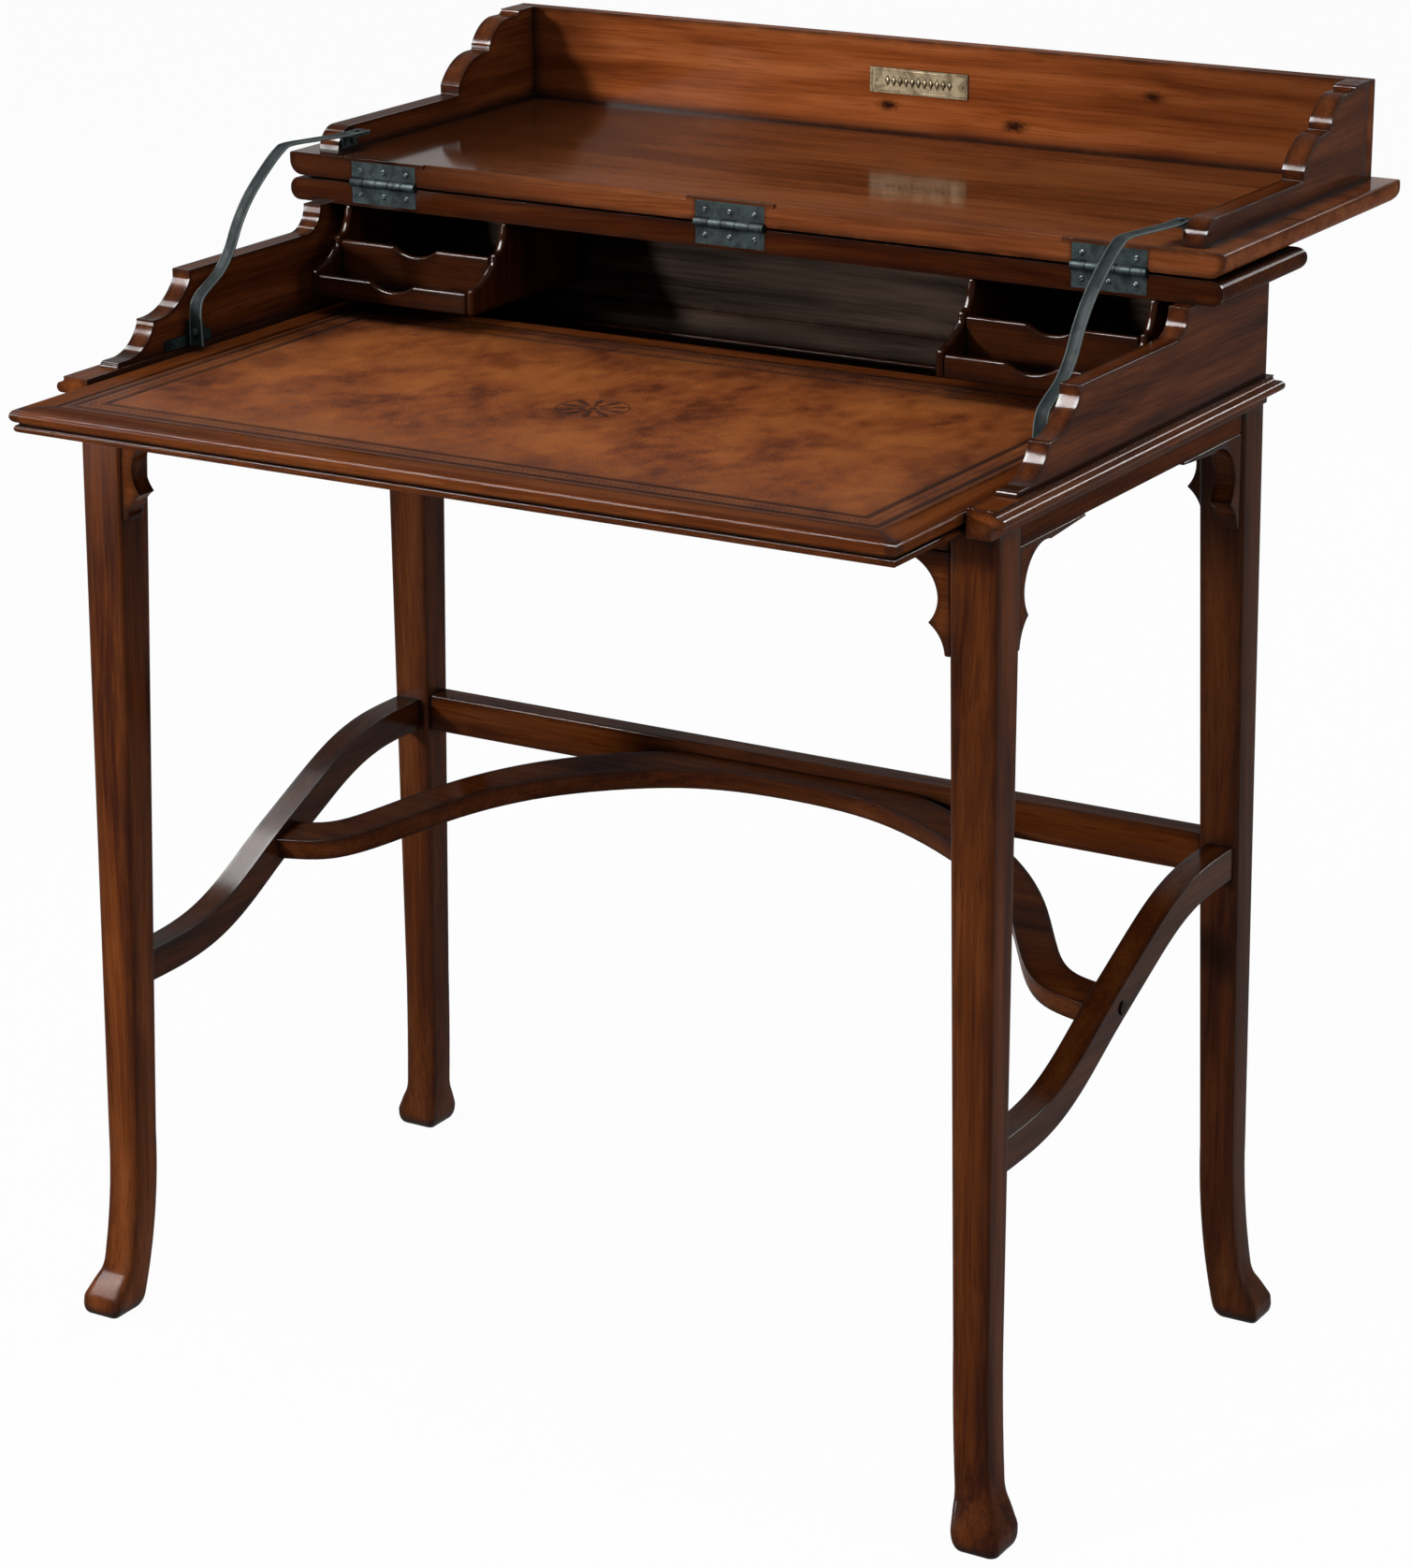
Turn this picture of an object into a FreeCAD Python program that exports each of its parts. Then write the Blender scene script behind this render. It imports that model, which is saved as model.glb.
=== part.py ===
import FreeCAD, Part
import math
import os

V = FreeCAD.Vector
os.makedirs("parts", exist_ok=True)

# A campaign desk, shown open: the lid lies folded back on the narrow fixed top and the writing
# slide is drawn out. X is the width, the front is towards -Y, Z is up, and all sizes are in mm.
# While it is modelled, y is counted from the front of the base; the whole desk is moved at the end
# so that the origin lies under the middle of it.

# Overall sizes
writing_height = 760.0    # floor to the top of the slide
case_width = 768.0        # over the side panels
base_depth = 453.5        # front to back over the base moulding
moulding_reach = 11.0     # base moulding beyond legs and panels
hinge_y = 315.0           # front edges of fixed top and lid
hinge_rise = 99.0         # hinge pins above the writing surface
overrun = 2.0             # extra length of every cutting body

# Clearances
slide_side_gap = 1.2      # slide to base strip, each side
slide_run_gap = 0.3       # runner to floor board
slide_over_gap = 0.6      # slide to the tops of legs and aprons
side_gap = 1.0            # closed lid side to side panel
board_gap = 1.0           # each board to the pin height
edge_gap = 0.5            # pin line in front of the board edges
rivet_gap = 0.3           # strap to the clip and foot, and to the rivet in the clip
notch_gap = 0.5           # floor board round a leg

# Legs
leg_head = 37.0           # square section at the top
leg_ankle = 28.5          # square section at the ankle
leg_edge = 4.0            # rounding of the section's corners
ankle_height = 150.0      # where the leg begins to sway out
ankle_splay = 5.0         # outward lean of the outer faces at the ankle
foot_sway = 12.0          # outward sway of the whole leg from the ankle to the floor
flare_start = 44.0        # height at which the toe begins to stand out
toe_flare = 9.0           # the toe beyond the swayed leg
toe_full = 12.0           # height at which it is at its widest
toe_corner = 6.0          # rounding of the toe's outer corner
sole_ease = 5.0           # rounding under at the sole
foot_steps = 20           # sections from the ankle to the toe
sole_steps = 4            # sections from the toe to the sole

# Apron rails and brackets
rail_thickness = 18.0
rail_drop = 15.5          # height of an apron rail
rail_inset = 1.6          # behind the outer faces of the legs
bracket_span = 100.0      # along the rail
bracket_drop = 73.0       # down the leg
bracket_step = 2.0        # from the rail to the tip of the bracket
bracket_shoulder = 48.0   # reach at the start of the upper scroll
bracket_bend = 15.5       # reach half way round the upper scroll
bracket_throat = 9.5      # narrowest reach of the upper scroll
bracket_hollow = 12.0     # reach between throat and point
bracket_cusp = 17.0       # reach at the point between the scrolls
bracket_scroll = 8.5      # reach half way round the lower scroll
bracket_toe = 4.5         # reach at the lower end
shoulder_share = 0.075    # drops at the same places, of the whole drop
bend_share = 0.22
throat_share = 0.44
hollow_share = 0.60
cusp_share = 0.70
scroll_share = 0.82

# Stretchers
stretcher_width = 22.0
stretcher_depth = 25.5
side_stretcher_low = 287.0     # middle line at the front leg
side_stretcher_high = 389.0    # middle line at the back leg
stretcher_bite = 6.0           # run into each leg before it is trimmed
side_run_shares = (0.0, 0.12, 0.235, 0.35, 0.45, 0.53, 0.64, 0.755, 0.87, 1.0)
side_rise_shares = (0.0, 0.01, 0.075, 0.235, 0.42, 0.555, 0.735, 0.9, 0.985, 1.0)
back_stretcher_low = 374.5
back_stretcher_height = 31.5
bow_width = 28.5
bow_thickness = 18.0
bow_run_share = 0.50           # where its pegs cross the side stretchers, of their run and rise
bow_rise_share = 0.478
bow_seat = 5.0                 # underside above that of the back stretcher, where they meet
bow_proud = 11.5               # front face before that of the back stretcher, where they meet
bow_end_share = 0.25           # run forward of its ends past the pegs, of the run outwards
bow_reach_shares = (0.0, 0.243, 0.427, 0.603, 0.733, 0.82, 0.906, 1.0)
bow_depth_shares = (1.0, 0.958, 0.842, 0.659, 0.428, 0.205, 0.048, 0.0)
peg_radius = 5.0
peg_proud = 1.5
peg_depth = 16.0               # into the end of the bow

# Floor board and cleats
floor_thickness = 6.0
floor_drop = 2.0               # below the tops of the aprons
cleat_size = 6.5

# Base strips
strip_height = 20.5            # above the aprons
strip_cove = 4.5
strip_nose = 4.0               # radius of the round nose
strip_foot = 1.0               # reach beyond the apron at the bottom

# Case panels and their stepped front
panel_thickness = 16.0
step_setback = 12.0            # in front of the hinge line
step_radius = 20.0
low_edge_front = 131.0         # front end of the low top edge
first_cove_run = 40.0
ledge = 6.5                    # between the coves
second_cove_run = 30.0
first_drop_share = 0.13        # straight drop above the first cove, of the drop from low edge to toe
first_cove_share = 0.43
second_drop_share = 0.055
second_cove_share = 0.385
cove_run_share = 0.37          # middle of a cove, of its run and of its drop
cove_drop_share = 0.66
toe_length = 12.0
toe_height = 4.0

# Fixed top, lid and gallery
board_thickness = 18.0
top_reach = 20.5               # beyond the panels, at the sides and back
top_nose = 8.5
lid_depth = 321.5
lid_ovolo = 11.0
lid_ease = 2.0
lid_side_thickness = 18.0
gallery_thickness = 14.0
lid_reach = 8.5                # lid beyond the gallery
gallery_ease = 2.0
chamfer = 3.5                  # stopped chamfers on the lid's front edge
chamfer_stop = 8.0             # from a hinge to the start of a chamfer

# Hinges
hinge_length = 60.0
hinge_inset = 89.5             # end of a board to the middle of its outer hinge
leaf_thickness = 2.0
leaf_height = 15.5
knuckle_radius = 3.4
knuckle_relief = 0.5
knuckles = 5
knuckle_end_gap = 0.35
pin_radius = 1.5
pin_run_gap = 0.05
screw_head = 2.3
screw_shank = 1.3
screw_length = 12.0
screw_row_share = 0.36         # outer screws from the middle, of the leaf's length
screw_height_share = 0.55      # of the leaf's height

# Letter racks
rack_width = 153.5
rack_side_gap = 14.0           # rack to the side panel
rack_end_thickness = 7.0
rack_lip_thickness = 6.0
rack_floor_thickness = 4.0
rack_lift = 16.0               # above the slide, the rack hangs under the fixed top
rack_setback = 0.5             # top front corner behind the hinge line
rack_rear_lip_set = 15.0       # lips in front of the hinge line
rack_front_lip_set = 48.0
rack_rear_lip_share = 0.61     # heights of the lips, of the height under the fixed top
rack_front_lip_share = 0.266
rack_shoulder = 3.0            # ends above their lips
finger_share = 0.29            # of the lip's width
finger_depth = 6.5
rack_rear_run_share = 0.3      # middle of the upper cove of an end, of its run and height
rack_rear_rise_share = 0.45
rack_front_run_share = 0.4     # the same for the lower cove
rack_front_rise_share = 0.38

# Straps and their fittings
strap_width = 12.5
strap_thickness = 1.6
strap_wall_gap = 3.8           # strap to the side panel
strap_reach = 36.0             # upper end behind the hinge line
strap_rise = 15.0              # upper end above the lid
strap_lead = 7.3               # lower end in front of the panel's low edge
strap_lift = 4.0               # lower end above the slide
strap_run_shares = (0.0, 0.123, 0.29, 0.444, 0.497, 0.581, 0.678, 0.748, 0.801, 0.862, 0.933, 0.979,
                    0.996, 1.0, 1.0, 1.0, 1.0)
strap_drop_shares = (0.0, -0.004, -0.023, -0.039, -0.019, 0.07, 0.202, 0.341, 0.492, 0.601, 0.667, 0.717,
                     0.772, 0.83, 0.885, 0.94, 1.0)
fitting_thickness = 1.5
clip_length = 20.0
clip_height = 11.0
foot_length = 56.0
foot_bar_height = 8.0
foot_plate_height = 19.0
fitting_lift = 3.5             # foot above the slide
fitting_screw_radius = 1.4
fitting_screw_length = 9.0
fitting_head_radius = 2.6
fitting_head_height = 1.0
clip_screw_share = 0.62        # height of the clip's screws, down from its top
foot_rivet_share = 0.6         # height of the foot's rivet
foot_screw_shares = (0.12, 0.88)    # along the foot's bar

# Slide
slide_depth = 425.0
slide_out = 93.0
slide_thickness = 17.4
slide_rail = 25.0              # width of the edge rails
upper_bead = 10.2              # height of the large bead
bead_quirk = 1.2               # groove between the beads
lower_bead_set = 2.2           # small bead behind the large one
core_thickness = 13.0
leather_thickness = 1.2
leather_sink = 0.2             # leather below the rails
runner_width = 20.0
runner_inset = 44.8            # from the slide's edge to a runner

# Plate
plate_width = 88.0
plate_height = 20.0
plate_thickness = 1.2
plate_share = 0.56             # middle of the plate, up the gallery
plate_pin_radius = 1.4
plate_pin_inset = 5.0
plate_pin_proud = 0.8
plate_pin_length = 7.0

# Worked out from the sizes above
case_half = case_width / 2
base_half = case_half + moulding_reach
leg_front = moulding_reach
leg_back = base_depth - moulding_reach
hinge_height = writing_height + hinge_rise
slide_bottom = writing_height - slide_thickness
frame_top = slide_bottom - slide_over_gap
rail_bottom = frame_top - rail_drop
floor_top = frame_top - floor_drop
strip_top = frame_top + strip_height
panel_inner = case_half - panel_thickness
lid_side_inner = case_half - lid_side_thickness
fixed_top_top = hinge_height - board_gap
fixed_top_bottom = fixed_top_top - board_thickness
lid_bottom = hinge_height + board_gap
lid_top = lid_bottom + board_thickness
axis_y = hinge_y - edge_gap
strap_back = hinge_y + strap_reach
strap_top = lid_top + strap_rise
strap_front = low_edge_front - strap_lead
strap_bottom = writing_height + strap_lift
lid_back = hinge_y + lid_depth
gallery_back = lid_back - lid_reach
gallery_front = gallery_back - gallery_thickness
gallery_top = 2 * hinge_height - strip_top - side_gap
back_panel_front = leg_back - panel_thickness
top_half = case_half + top_reach
low_edge = fixed_top_bottom - step_radius
rail_outer = case_half - rail_inset
rail_inner = rail_outer - rail_thickness
slide_half = lid_side_inner - slide_side_gap
slide_front = -slide_out
slide_back = slide_front + slide_depth
middle_y = (slide_front + lid_back) / 2
hinge_spread = top_half - hinge_inset
hinge_middles = (-hinge_spread, 0.0, hinge_spread)


# Small helpers

def box(x0, x1, y0, y1, z0, z1):
    return Part.makeBox(x1 - x0, y1 - y0, z1 - z0, V(x0, y0, z0))


def wire(points, place):
    """A closed outline. A point is (a, b), or (through, end) for an arc from the last point."""
    edges = []
    last = points[0]
    for point in list(points[1:]) + [points[0]]:
        if isinstance(point[0], tuple):
            through, end = point
            edges.append(Part.Arc(place(*last), place(*through), place(*end)).toShape())
        else:
            end = point
            if place(*last).distanceToPoint(place(*end)) > Part.Precision.confusion():
                edges.append(Part.makeLine(place(*last), place(*end)))
        last = end
    return Part.Wire(edges)


def along_x(points, x0, x1):
    """An outline of (y, z) points, run from x0 to x1."""
    return Part.Face(wire(points, lambda y, z: V(x0, y, z))).extrude(V(x1 - x0, 0, 0))


def along_y(points, y0, y1):
    """An outline of (x, z) points, run from y0 to y1."""
    return Part.Face(wire(points, lambda x, z: V(x, y0, z))).extrude(V(0, y1 - y0, 0))


def along_z(points, z0, z1):
    """An outline of (x, y) points, run from z0 to z1."""
    return Part.Face(wire(points, lambda x, y: V(x, y, z0))).extrude(V(0, 0, z1 - z0))


def quarter(centre, radius, start, turn):
    """Through point and end of a quarter circle, as an arc for an outline."""
    points = []
    for step in (start + turn / 2, start + turn):
        angle = math.radians(step)
        points.append((centre[0] + radius * math.cos(angle), centre[1] + radius * math.sin(angle)))
    return tuple(points)


def band(points, width, place):
    """A flat face of even width along a smooth line through the points."""
    sides = ([], [])
    for i, (a, b) in enumerate(points):
        before, after = points[max(i - 1, 0)], points[min(i + 1, len(points) - 1)]
        run, rise = after[0] - before[0], after[1] - before[1]
        length = math.hypot(run, rise)
        for side, sign in zip(sides, (1, -1)):
            side.append(place(a - sign * rise / length * width / 2, b + sign * run / length * width / 2))
    curves = []
    for side in sides:
        curve = Part.BSplineCurve()
        curve.interpolate(side)
        curves.append(curve.toShape())
    ends = [Part.makeLine(sides[0][0], sides[1][0]), Part.makeLine(sides[0][-1], sides[1][-1])]
    return Part.Face(Part.Wire(Part.__sortEdges__(curves + ends)))


def mirrored(shape):
    return shape.mirror(V(0, 0, 0), V(1, 0, 0))


def swung(shape):
    """The shape turned half round the hinge pins, from the closed lid to the open one."""
    turned = shape.copy()
    turned.rotate(V(0, axis_y, hinge_height), V(1, 0, 0), 180)
    return turned


def eased(shape, radius, keep):
    """Rounds the straight edges whose middle point passes the test."""
    edges = [e for e in shape.Edges if keep(e.BoundBox.Center, e.BoundBox)]
    return shape.makeFillet(radius, edges)


def pin(start, direction, length, radius):
    return Part.makeCylinder(radius, length, start, direction)


def save(name, *solids):
    shape = solids[0] if len(solids) == 1 else Part.makeCompound(list(solids))
    moved = shape.copy()
    moved.translate(V(0, -middle_y, 0))
    moved.exportStep("parts/" + name + ".step")


# Stand

def leg_section(size, splay, height, corner):
    """A rounded square for the front right leg, its outer corner splayed outwards."""
    x1, y0 = case_half + splay, leg_front - splay
    x0, y1 = x1 - size, y0 + size
    r = leg_edge
    points = [(x0 + r, y0), (x1 - corner, y0), quarter((x1 - corner, y0 + corner), corner, 270, 90),
              (x1, y1 - r), quarter((x1 - r, y1 - r), r, 0, 90),
              (x0 + r, y1), quarter((x0 + r, y1 - r), r, 90, 90),
              (x0, y0 + r), quarter((x0 + r, y0 + r), r, 180, 90)]
    return wire(points, lambda x, y: V(x, y, height))


def foot_section(height, under):
    """A section of the foot: the leg sways out to the floor, and the toe stands out beyond it."""
    sway = foot_sway * ((ankle_height - height) / ankle_height) ** 2
    run = min(max((flare_start - height) / (flare_start - toe_full), 0), 1)
    share = run * run * (3 - 2 * run)
    flare = toe_flare * share
    corner = leg_edge + (toe_corner - leg_edge) * share
    return leg_section(leg_ankle + flare - 2 * under, ankle_splay + sway + flare - under, height, corner)


def front_right_leg():
    """A tapered shaft, a foot that sways out below it, and a sole that rounds under."""
    shaft = [leg_section(leg_head, 0, frame_top, leg_edge), foot_section(ankle_height, 0)]
    foot, sole = [], []
    for step in range(foot_steps + 1):
        foot.append(foot_section(ankle_height - (ankle_height - toe_full) * step / foot_steps, 0))
    for step in range(sole_steps + 1):
        turn = math.radians(90 * step / sole_steps)
        sole.append(foot_section(toe_full * (1 - math.sin(turn)), sole_ease * (1 - math.cos(turn))))
    leg = Part.makeLoft(shaft, True, True).fuse(Part.makeLoft(foot, True, False))
    return leg.fuse(Part.makeLoft(sole, True, False))


def leg_inner(height):
    """How far the inner face of a leg lies behind the leg's outer face at the top."""
    share = (frame_top - height) / (frame_top - ankle_height)
    return leg_head - (leg_head - leg_ankle + ankle_splay) * share


def to_back(shape):
    """The shape mirrored from the front of the stand to the back."""
    return shape.mirror(V(0, (leg_front + leg_back) / 2, 0), V(0, 1, 0))


legs = {"front_right": front_right_leg()}
legs["front_left"] = mirrored(legs["front_right"])
legs["back_right"] = to_back(legs["front_right"])
legs["back_left"] = mirrored(legs["back_right"])
for corner, leg in legs.items():
    save("leg_" + corner, leg)

leg_inner_x = case_half - leg_head
leg_inner_front = leg_front + leg_head
leg_inner_back = leg_back - leg_head

front_rail = box(-leg_inner_x, leg_inner_x, leg_front + rail_inset,
                 leg_front + rail_inset + rail_thickness, rail_bottom, frame_top)
side_rail = box(rail_inner, rail_outer, leg_inner_front, leg_inner_back, rail_bottom, frame_top)
save("apron_front", front_rail)
save("apron_back", to_back(front_rail))
save("apron_right", side_rail)
save("apron_left", mirrored(side_rail))


def bracket_outline(outer, direction):
    """Scrolled outline between the apron and a leg whose outer face is at outer."""
    def at(reach, drop):
        height = rail_bottom - drop
        return outer + direction * (leg_inner(height) + reach), height

    def down(reach, share):
        return at(reach, bracket_drop * share)

    return [at(0, 0), at(bracket_span, 0), at(bracket_span, bracket_step),
            down(bracket_shoulder, shoulder_share),
            (down(bracket_bend, bend_share), down(bracket_throat, throat_share)),
            (down(bracket_hollow, hollow_share), down(bracket_cusp, cusp_share)),
            (down(bracket_scroll, scroll_share), down(bracket_toe, 1)), down(0, 1)]


front_bracket = along_y(bracket_outline(case_half, -1), leg_front + rail_inset,
                        leg_front + rail_inset + rail_thickness)
side_bracket = along_x(bracket_outline(leg_front, 1), rail_inner, rail_outer)
bracket_pair = [front_bracket, side_bracket]
save("brackets_front_right", *bracket_pair)
save("brackets_front_left", *[mirrored(b) for b in bracket_pair])
save("brackets_back_right", *[to_back(b) for b in bracket_pair])
save("brackets_back_left", *[mirrored(to_back(b)) for b in bracket_pair])


def leg_core():
    """The plain square taper inside the front right leg, as a cutter for what butts against it."""
    rings = []
    for height in (frame_top, ankle_height):
        inner = leg_inner(height)
        splay = ankle_splay * (frame_top - height) / (frame_top - ankle_height)
        x0, x1, y0, y1 = case_half - inner, case_half + splay, leg_front - splay, leg_front + inner
        rings.append([V(x0, y0, height), V(x1, y0, height), V(x1, y1, height), V(x0, y1, height)])
    upper, lower = rings
    loops = rings + [[upper[i - 1], upper[i], lower[i], lower[i - 1]] for i in range(len(upper))]
    faces = [Part.Face(Part.makePolygon(loop + loop[:1])) for loop in loops]
    return Part.Solid(Part.Shell(faces))


right_cores = [leg_core(), to_back(leg_core())]
leg_cores = Part.makeCompound(right_cores + [mirrored(core) for core in right_cores])
stretcher_start = leg_inner_front - stretcher_bite


def on_stretcher(run, up):
    """A point on the line of a side stretcher, from its shares of the run and the rise."""
    return (stretcher_start + (leg_inner_back - stretcher_start) * run,
            side_stretcher_low + (side_stretcher_high - side_stretcher_low) * up)


def side_stretcher():
    """An S between two legs, level where it meets them."""
    points = [on_stretcher(run, up) for run, up in zip(side_run_shares, side_rise_shares)]
    points = [(stretcher_start - stretcher_bite, side_stretcher_low)] + points
    points.append((leg_inner_back + 2 * stretcher_bite, side_stretcher_high))
    x0 = case_half - stretcher_width
    face = band(points, stretcher_depth, lambda y, z: V(x0, y, z))
    solids = face.extrude(V(stretcher_width, 0, 0)).cut(leg_cores).Solids
    return max(solids, key=lambda solid: solid.Volume)


right_stretcher = side_stretcher()
stretcher_inner_x = case_half - stretcher_width

leg_middle_y = leg_back - leg_head / 2 + ankle_splay
back_stretcher = box(-case_half, case_half, leg_middle_y - stretcher_width / 2,
                     leg_middle_y + stretcher_width / 2, back_stretcher_low,
                     back_stretcher_low + back_stretcher_height)
back_stretcher = max(back_stretcher.cut(leg_cores).Solids, key=lambda solid: solid.Volume)

peg_y, peg_z = on_stretcher(bow_run_share, bow_rise_share)
bow_end_height = peg_z - bow_thickness / 2


def bow():
    """A bowed band in a plane that rises to the back, trimmed where it meets its neighbours."""
    depth = back_stretcher.BoundBox.YMin - bow_proud + bow_width / 2 - peg_y
    slope = (back_stretcher_low + bow_seat - bow_end_height) / depth
    tilt = math.atan(slope)
    half = [(stretcher_inner_x * reach, depth / math.cos(tilt) * share)
            for reach, share in zip(bow_reach_shares, bow_depth_shares)]
    end = (half[-1][0] + bow_width, half[-1][1] - bow_width * bow_end_share)
    half.append(end)
    points = [(-x, y) for x, y in reversed(half[1:])] + half
    body = band(points, bow_width, lambda x, y: V(x, y, 0)).extrude(V(0, 0, bow_thickness))
    body.rotate(V(0, 0, 0), V(1, 0, 0), math.degrees(tilt))
    body.translate(V(0, peg_y, bow_end_height))
    span = box(-stretcher_inner_x, stretcher_inner_x, 0, base_depth, 0, writing_height)
    return body.common(span).cut(back_stretcher)


bow_body = bow()
right_peg = pin(V(stretcher_inner_x - peg_depth, peg_y, peg_z), V(1, 0, 0),
                peg_depth + stretcher_width + peg_proud, peg_radius)
right_peg = eased(right_peg, peg_proud / 2, lambda c, b: b.XMin > case_half and b.XLength < peg_proud)
pegs = Part.makeCompound([right_peg, mirrored(right_peg)])
save("stretcher_right", right_stretcher.cut(pegs))
save("stretcher_left", mirrored(right_stretcher).cut(pegs))
save("stretcher_back", back_stretcher)
save("stretcher_bow", bow_body.cut(pegs))
save("stretcher_pegs", right_peg, mirrored(right_peg))

# Floor board and cleats
floor = box(-rail_inner, rail_inner, leg_front + rail_inset + rail_thickness,
            leg_back - rail_inset - rail_thickness, floor_top - floor_thickness, floor_top)
for x0 in (-case_half, leg_inner_x - notch_gap):
    for y0 in (leg_front, leg_inner_back - notch_gap):
        floor = floor.cut(box(x0, x0 + leg_head + notch_gap, y0, y0 + leg_head + notch_gap,
                              rail_bottom, frame_top))
save("floor_board", floor)
cleat_top = floor_top - floor_thickness
cleat_front = leg_front + rail_inset + rail_thickness
front_cleat = box(-leg_inner_x, leg_inner_x, cleat_front, cleat_front + cleat_size,
                  cleat_top - cleat_size, cleat_top)
side_cleat = box(rail_inner - cleat_size, rail_inner, leg_inner_front, leg_inner_back,
                 cleat_top - cleat_size, cleat_top)
save("floor_cleats", front_cleat, to_back(front_cleat), side_cleat, mirrored(side_cleat))


# Base strips

def strip_outline(inner, outer):
    """Outline of a strip from its inner face to the tip of its nose."""
    nose_x = outer - strip_nose
    nose_z = strip_top - strip_cove - strip_nose
    foot_x = outer - moulding_reach + strip_foot
    ledge_x = nose_x - strip_cove + strip_nose / 2
    cove_foot = (nose_x, nose_z + strip_nose)
    cove_middle = ((ledge_x + nose_x) / 2 - strip_cove / 4, (strip_top + cove_foot[1]) / 2 - strip_cove / 4)
    return [(inner, frame_top), (inner, strip_top), (ledge_x, strip_top), (cove_middle, cove_foot),
            ((outer, nose_z), (nose_x, nose_z - strip_nose)), (foot_x, nose_z - strip_nose),
            (foot_x, frame_top)]


mitre_corner = [(0, base_depth), (base_half, base_depth), (0, base_depth - base_half)]
back_wedge = along_z(mitre_corner, frame_top - overrun, strip_top + overrun)
back_wedge = back_wedge.fuse(mirrored(back_wedge))
side_strip = along_y(strip_outline(lid_side_inner, base_half), 0, base_depth).cut(back_wedge)
back_strip = along_x(strip_outline(back_panel_front, base_depth), -base_half, base_half).common(back_wedge)
save("base_strip_right", side_strip)
save("base_strip_left", mirrored(side_strip))
save("base_strip_back", back_strip)


# Case

def cove(start, run, drop):
    """Through point and end of a cove that falls towards the front."""
    through = (start[0] - run * cove_run_share, start[1] - drop * cove_drop_share)
    return through, (start[0] - run, start[1] - drop)


def panel_face(x):
    """Side panel with its stepped front, as a face at x."""
    step_y = hinge_y - step_setback
    drop = low_edge - strip_top - toe_height
    first = (low_edge_front, low_edge - drop * first_drop_share)
    first_cove = cove(first, first_cove_run, drop * first_cove_share)
    first_end = first_cove[1]
    second = (first_end[0] - ledge, first_end[1] - drop * second_drop_share)
    second_cove = cove(second, second_cove_run, drop * second_cove_share)
    second_end = second_cove[1]
    toe = (second_end[0] - toe_length, second_end[1] - toe_height)
    outline = [(leg_back, strip_top), (leg_back, fixed_top_bottom), (step_y, fixed_top_bottom),
               quarter((step_y - step_radius, fixed_top_bottom), step_radius, 0, -90),
               (low_edge_front, low_edge), first, first_cove, (second[0], first_end[1]), second, second_cove,
               (toe[0], second_end[1]), quarter(toe, toe_height, 90, 90), (toe[0] - toe_height, strip_top)]
    return Part.Face(wire(outline, lambda y, z: V(x, y, z)))


right_panel = panel_face(panel_inner).extrude(V(panel_thickness, 0, 0))
save("back_panel", box(-panel_inner, panel_inner, back_panel_front, leg_back, strip_top, fixed_top_bottom))


# Hinges
knuckle_length = hinge_length / knuckles
axis = V(1, 0, 0)


def at_axis(x):
    return V(x, axis_y, hinge_height)


def leaf(middle, lid):
    """One leaf with its knuckles. The case has the odd knuckles and the lid the even ones."""
    start = middle - hinge_length / 2
    z0, z1 = (lid_bottom, lid_bottom + leaf_height) if lid else (fixed_top_top - leaf_height, fixed_top_top)
    plate = box(start, start + hinge_length, hinge_y, hinge_y + leaf_thickness, z0, z1)
    own, other = (range(1, knuckles, 2), range(0, knuckles, 2))
    if not lid:
        own, other = other, own
    for i in own:
        plate = plate.fuse(pin(at_axis(start + i * knuckle_length), axis, knuckle_length, knuckle_radius))
    for i in other:
        x0 = start + i * knuckle_length - knuckle_end_gap
        plate = plate.cut(pin(at_axis(x0), axis, knuckle_length + 2 * knuckle_end_gap,
                              knuckle_radius + knuckle_relief))
    bore = pin_radius + (pin_run_gap if lid else 0)
    return plate.cut(pin(at_axis(start), axis, hinge_length, bore)).removeSplitter()


def leaf_screws(middle, lid):
    """Three flush screws in a row through a leaf into the edge of its board."""
    rise = leaf_height * screw_height_share
    z = lid_bottom + rise if lid else fixed_top_top - rise
    screws = []
    for share in (-screw_row_share, 0, screw_row_share):
        start = V(middle + share * hinge_length, hinge_y, z)
        head = Part.makeCone(screw_head, screw_shank, leaf_thickness / 2, start, V(0, 1, 0))
        screws.append(head.fuse(pin(start, V(0, 1, 0), screw_length, screw_shank)).removeSplitter())
    return screws


def hinge_room(lid):
    """What the hinges take out of a board's front edge."""
    rooms = []
    for middle in hinge_middles:
        start = middle - hinge_length / 2
        z0, z1 = hinge_height, lid_bottom + leaf_height
        if not lid:
            z0, z1 = fixed_top_top - leaf_height, hinge_height
        rooms.append(box(start, start + hinge_length, hinge_y, hinge_y + leaf_thickness, z0, z1))
        rooms.append(pin(at_axis(start - knuckle_relief), axis, hinge_length + 2 * knuckle_relief,
                         knuckle_radius + knuckle_relief))
    return Part.makeCompound(rooms)


case_screws = [s for middle in hinge_middles for s in leaf_screws(middle, False)]
lid_screws = [s for middle in hinge_middles for s in leaf_screws(middle, True)]
save("hinge_leaves_case", *[leaf(m, False).cut(Part.makeCompound(case_screws)) for m in hinge_middles])
save("hinge_leaves_lid", *[leaf(m, True).cut(Part.makeCompound(lid_screws)) for m in hinge_middles])
hinge_pins = [pin(at_axis(m - hinge_length / 2), axis, hinge_length, pin_radius) for m in hinge_middles]
save("hinge_pins", *hinge_pins)
save("hinge_screws_case", *case_screws)
save("hinge_screws_lid", *lid_screws)

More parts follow.
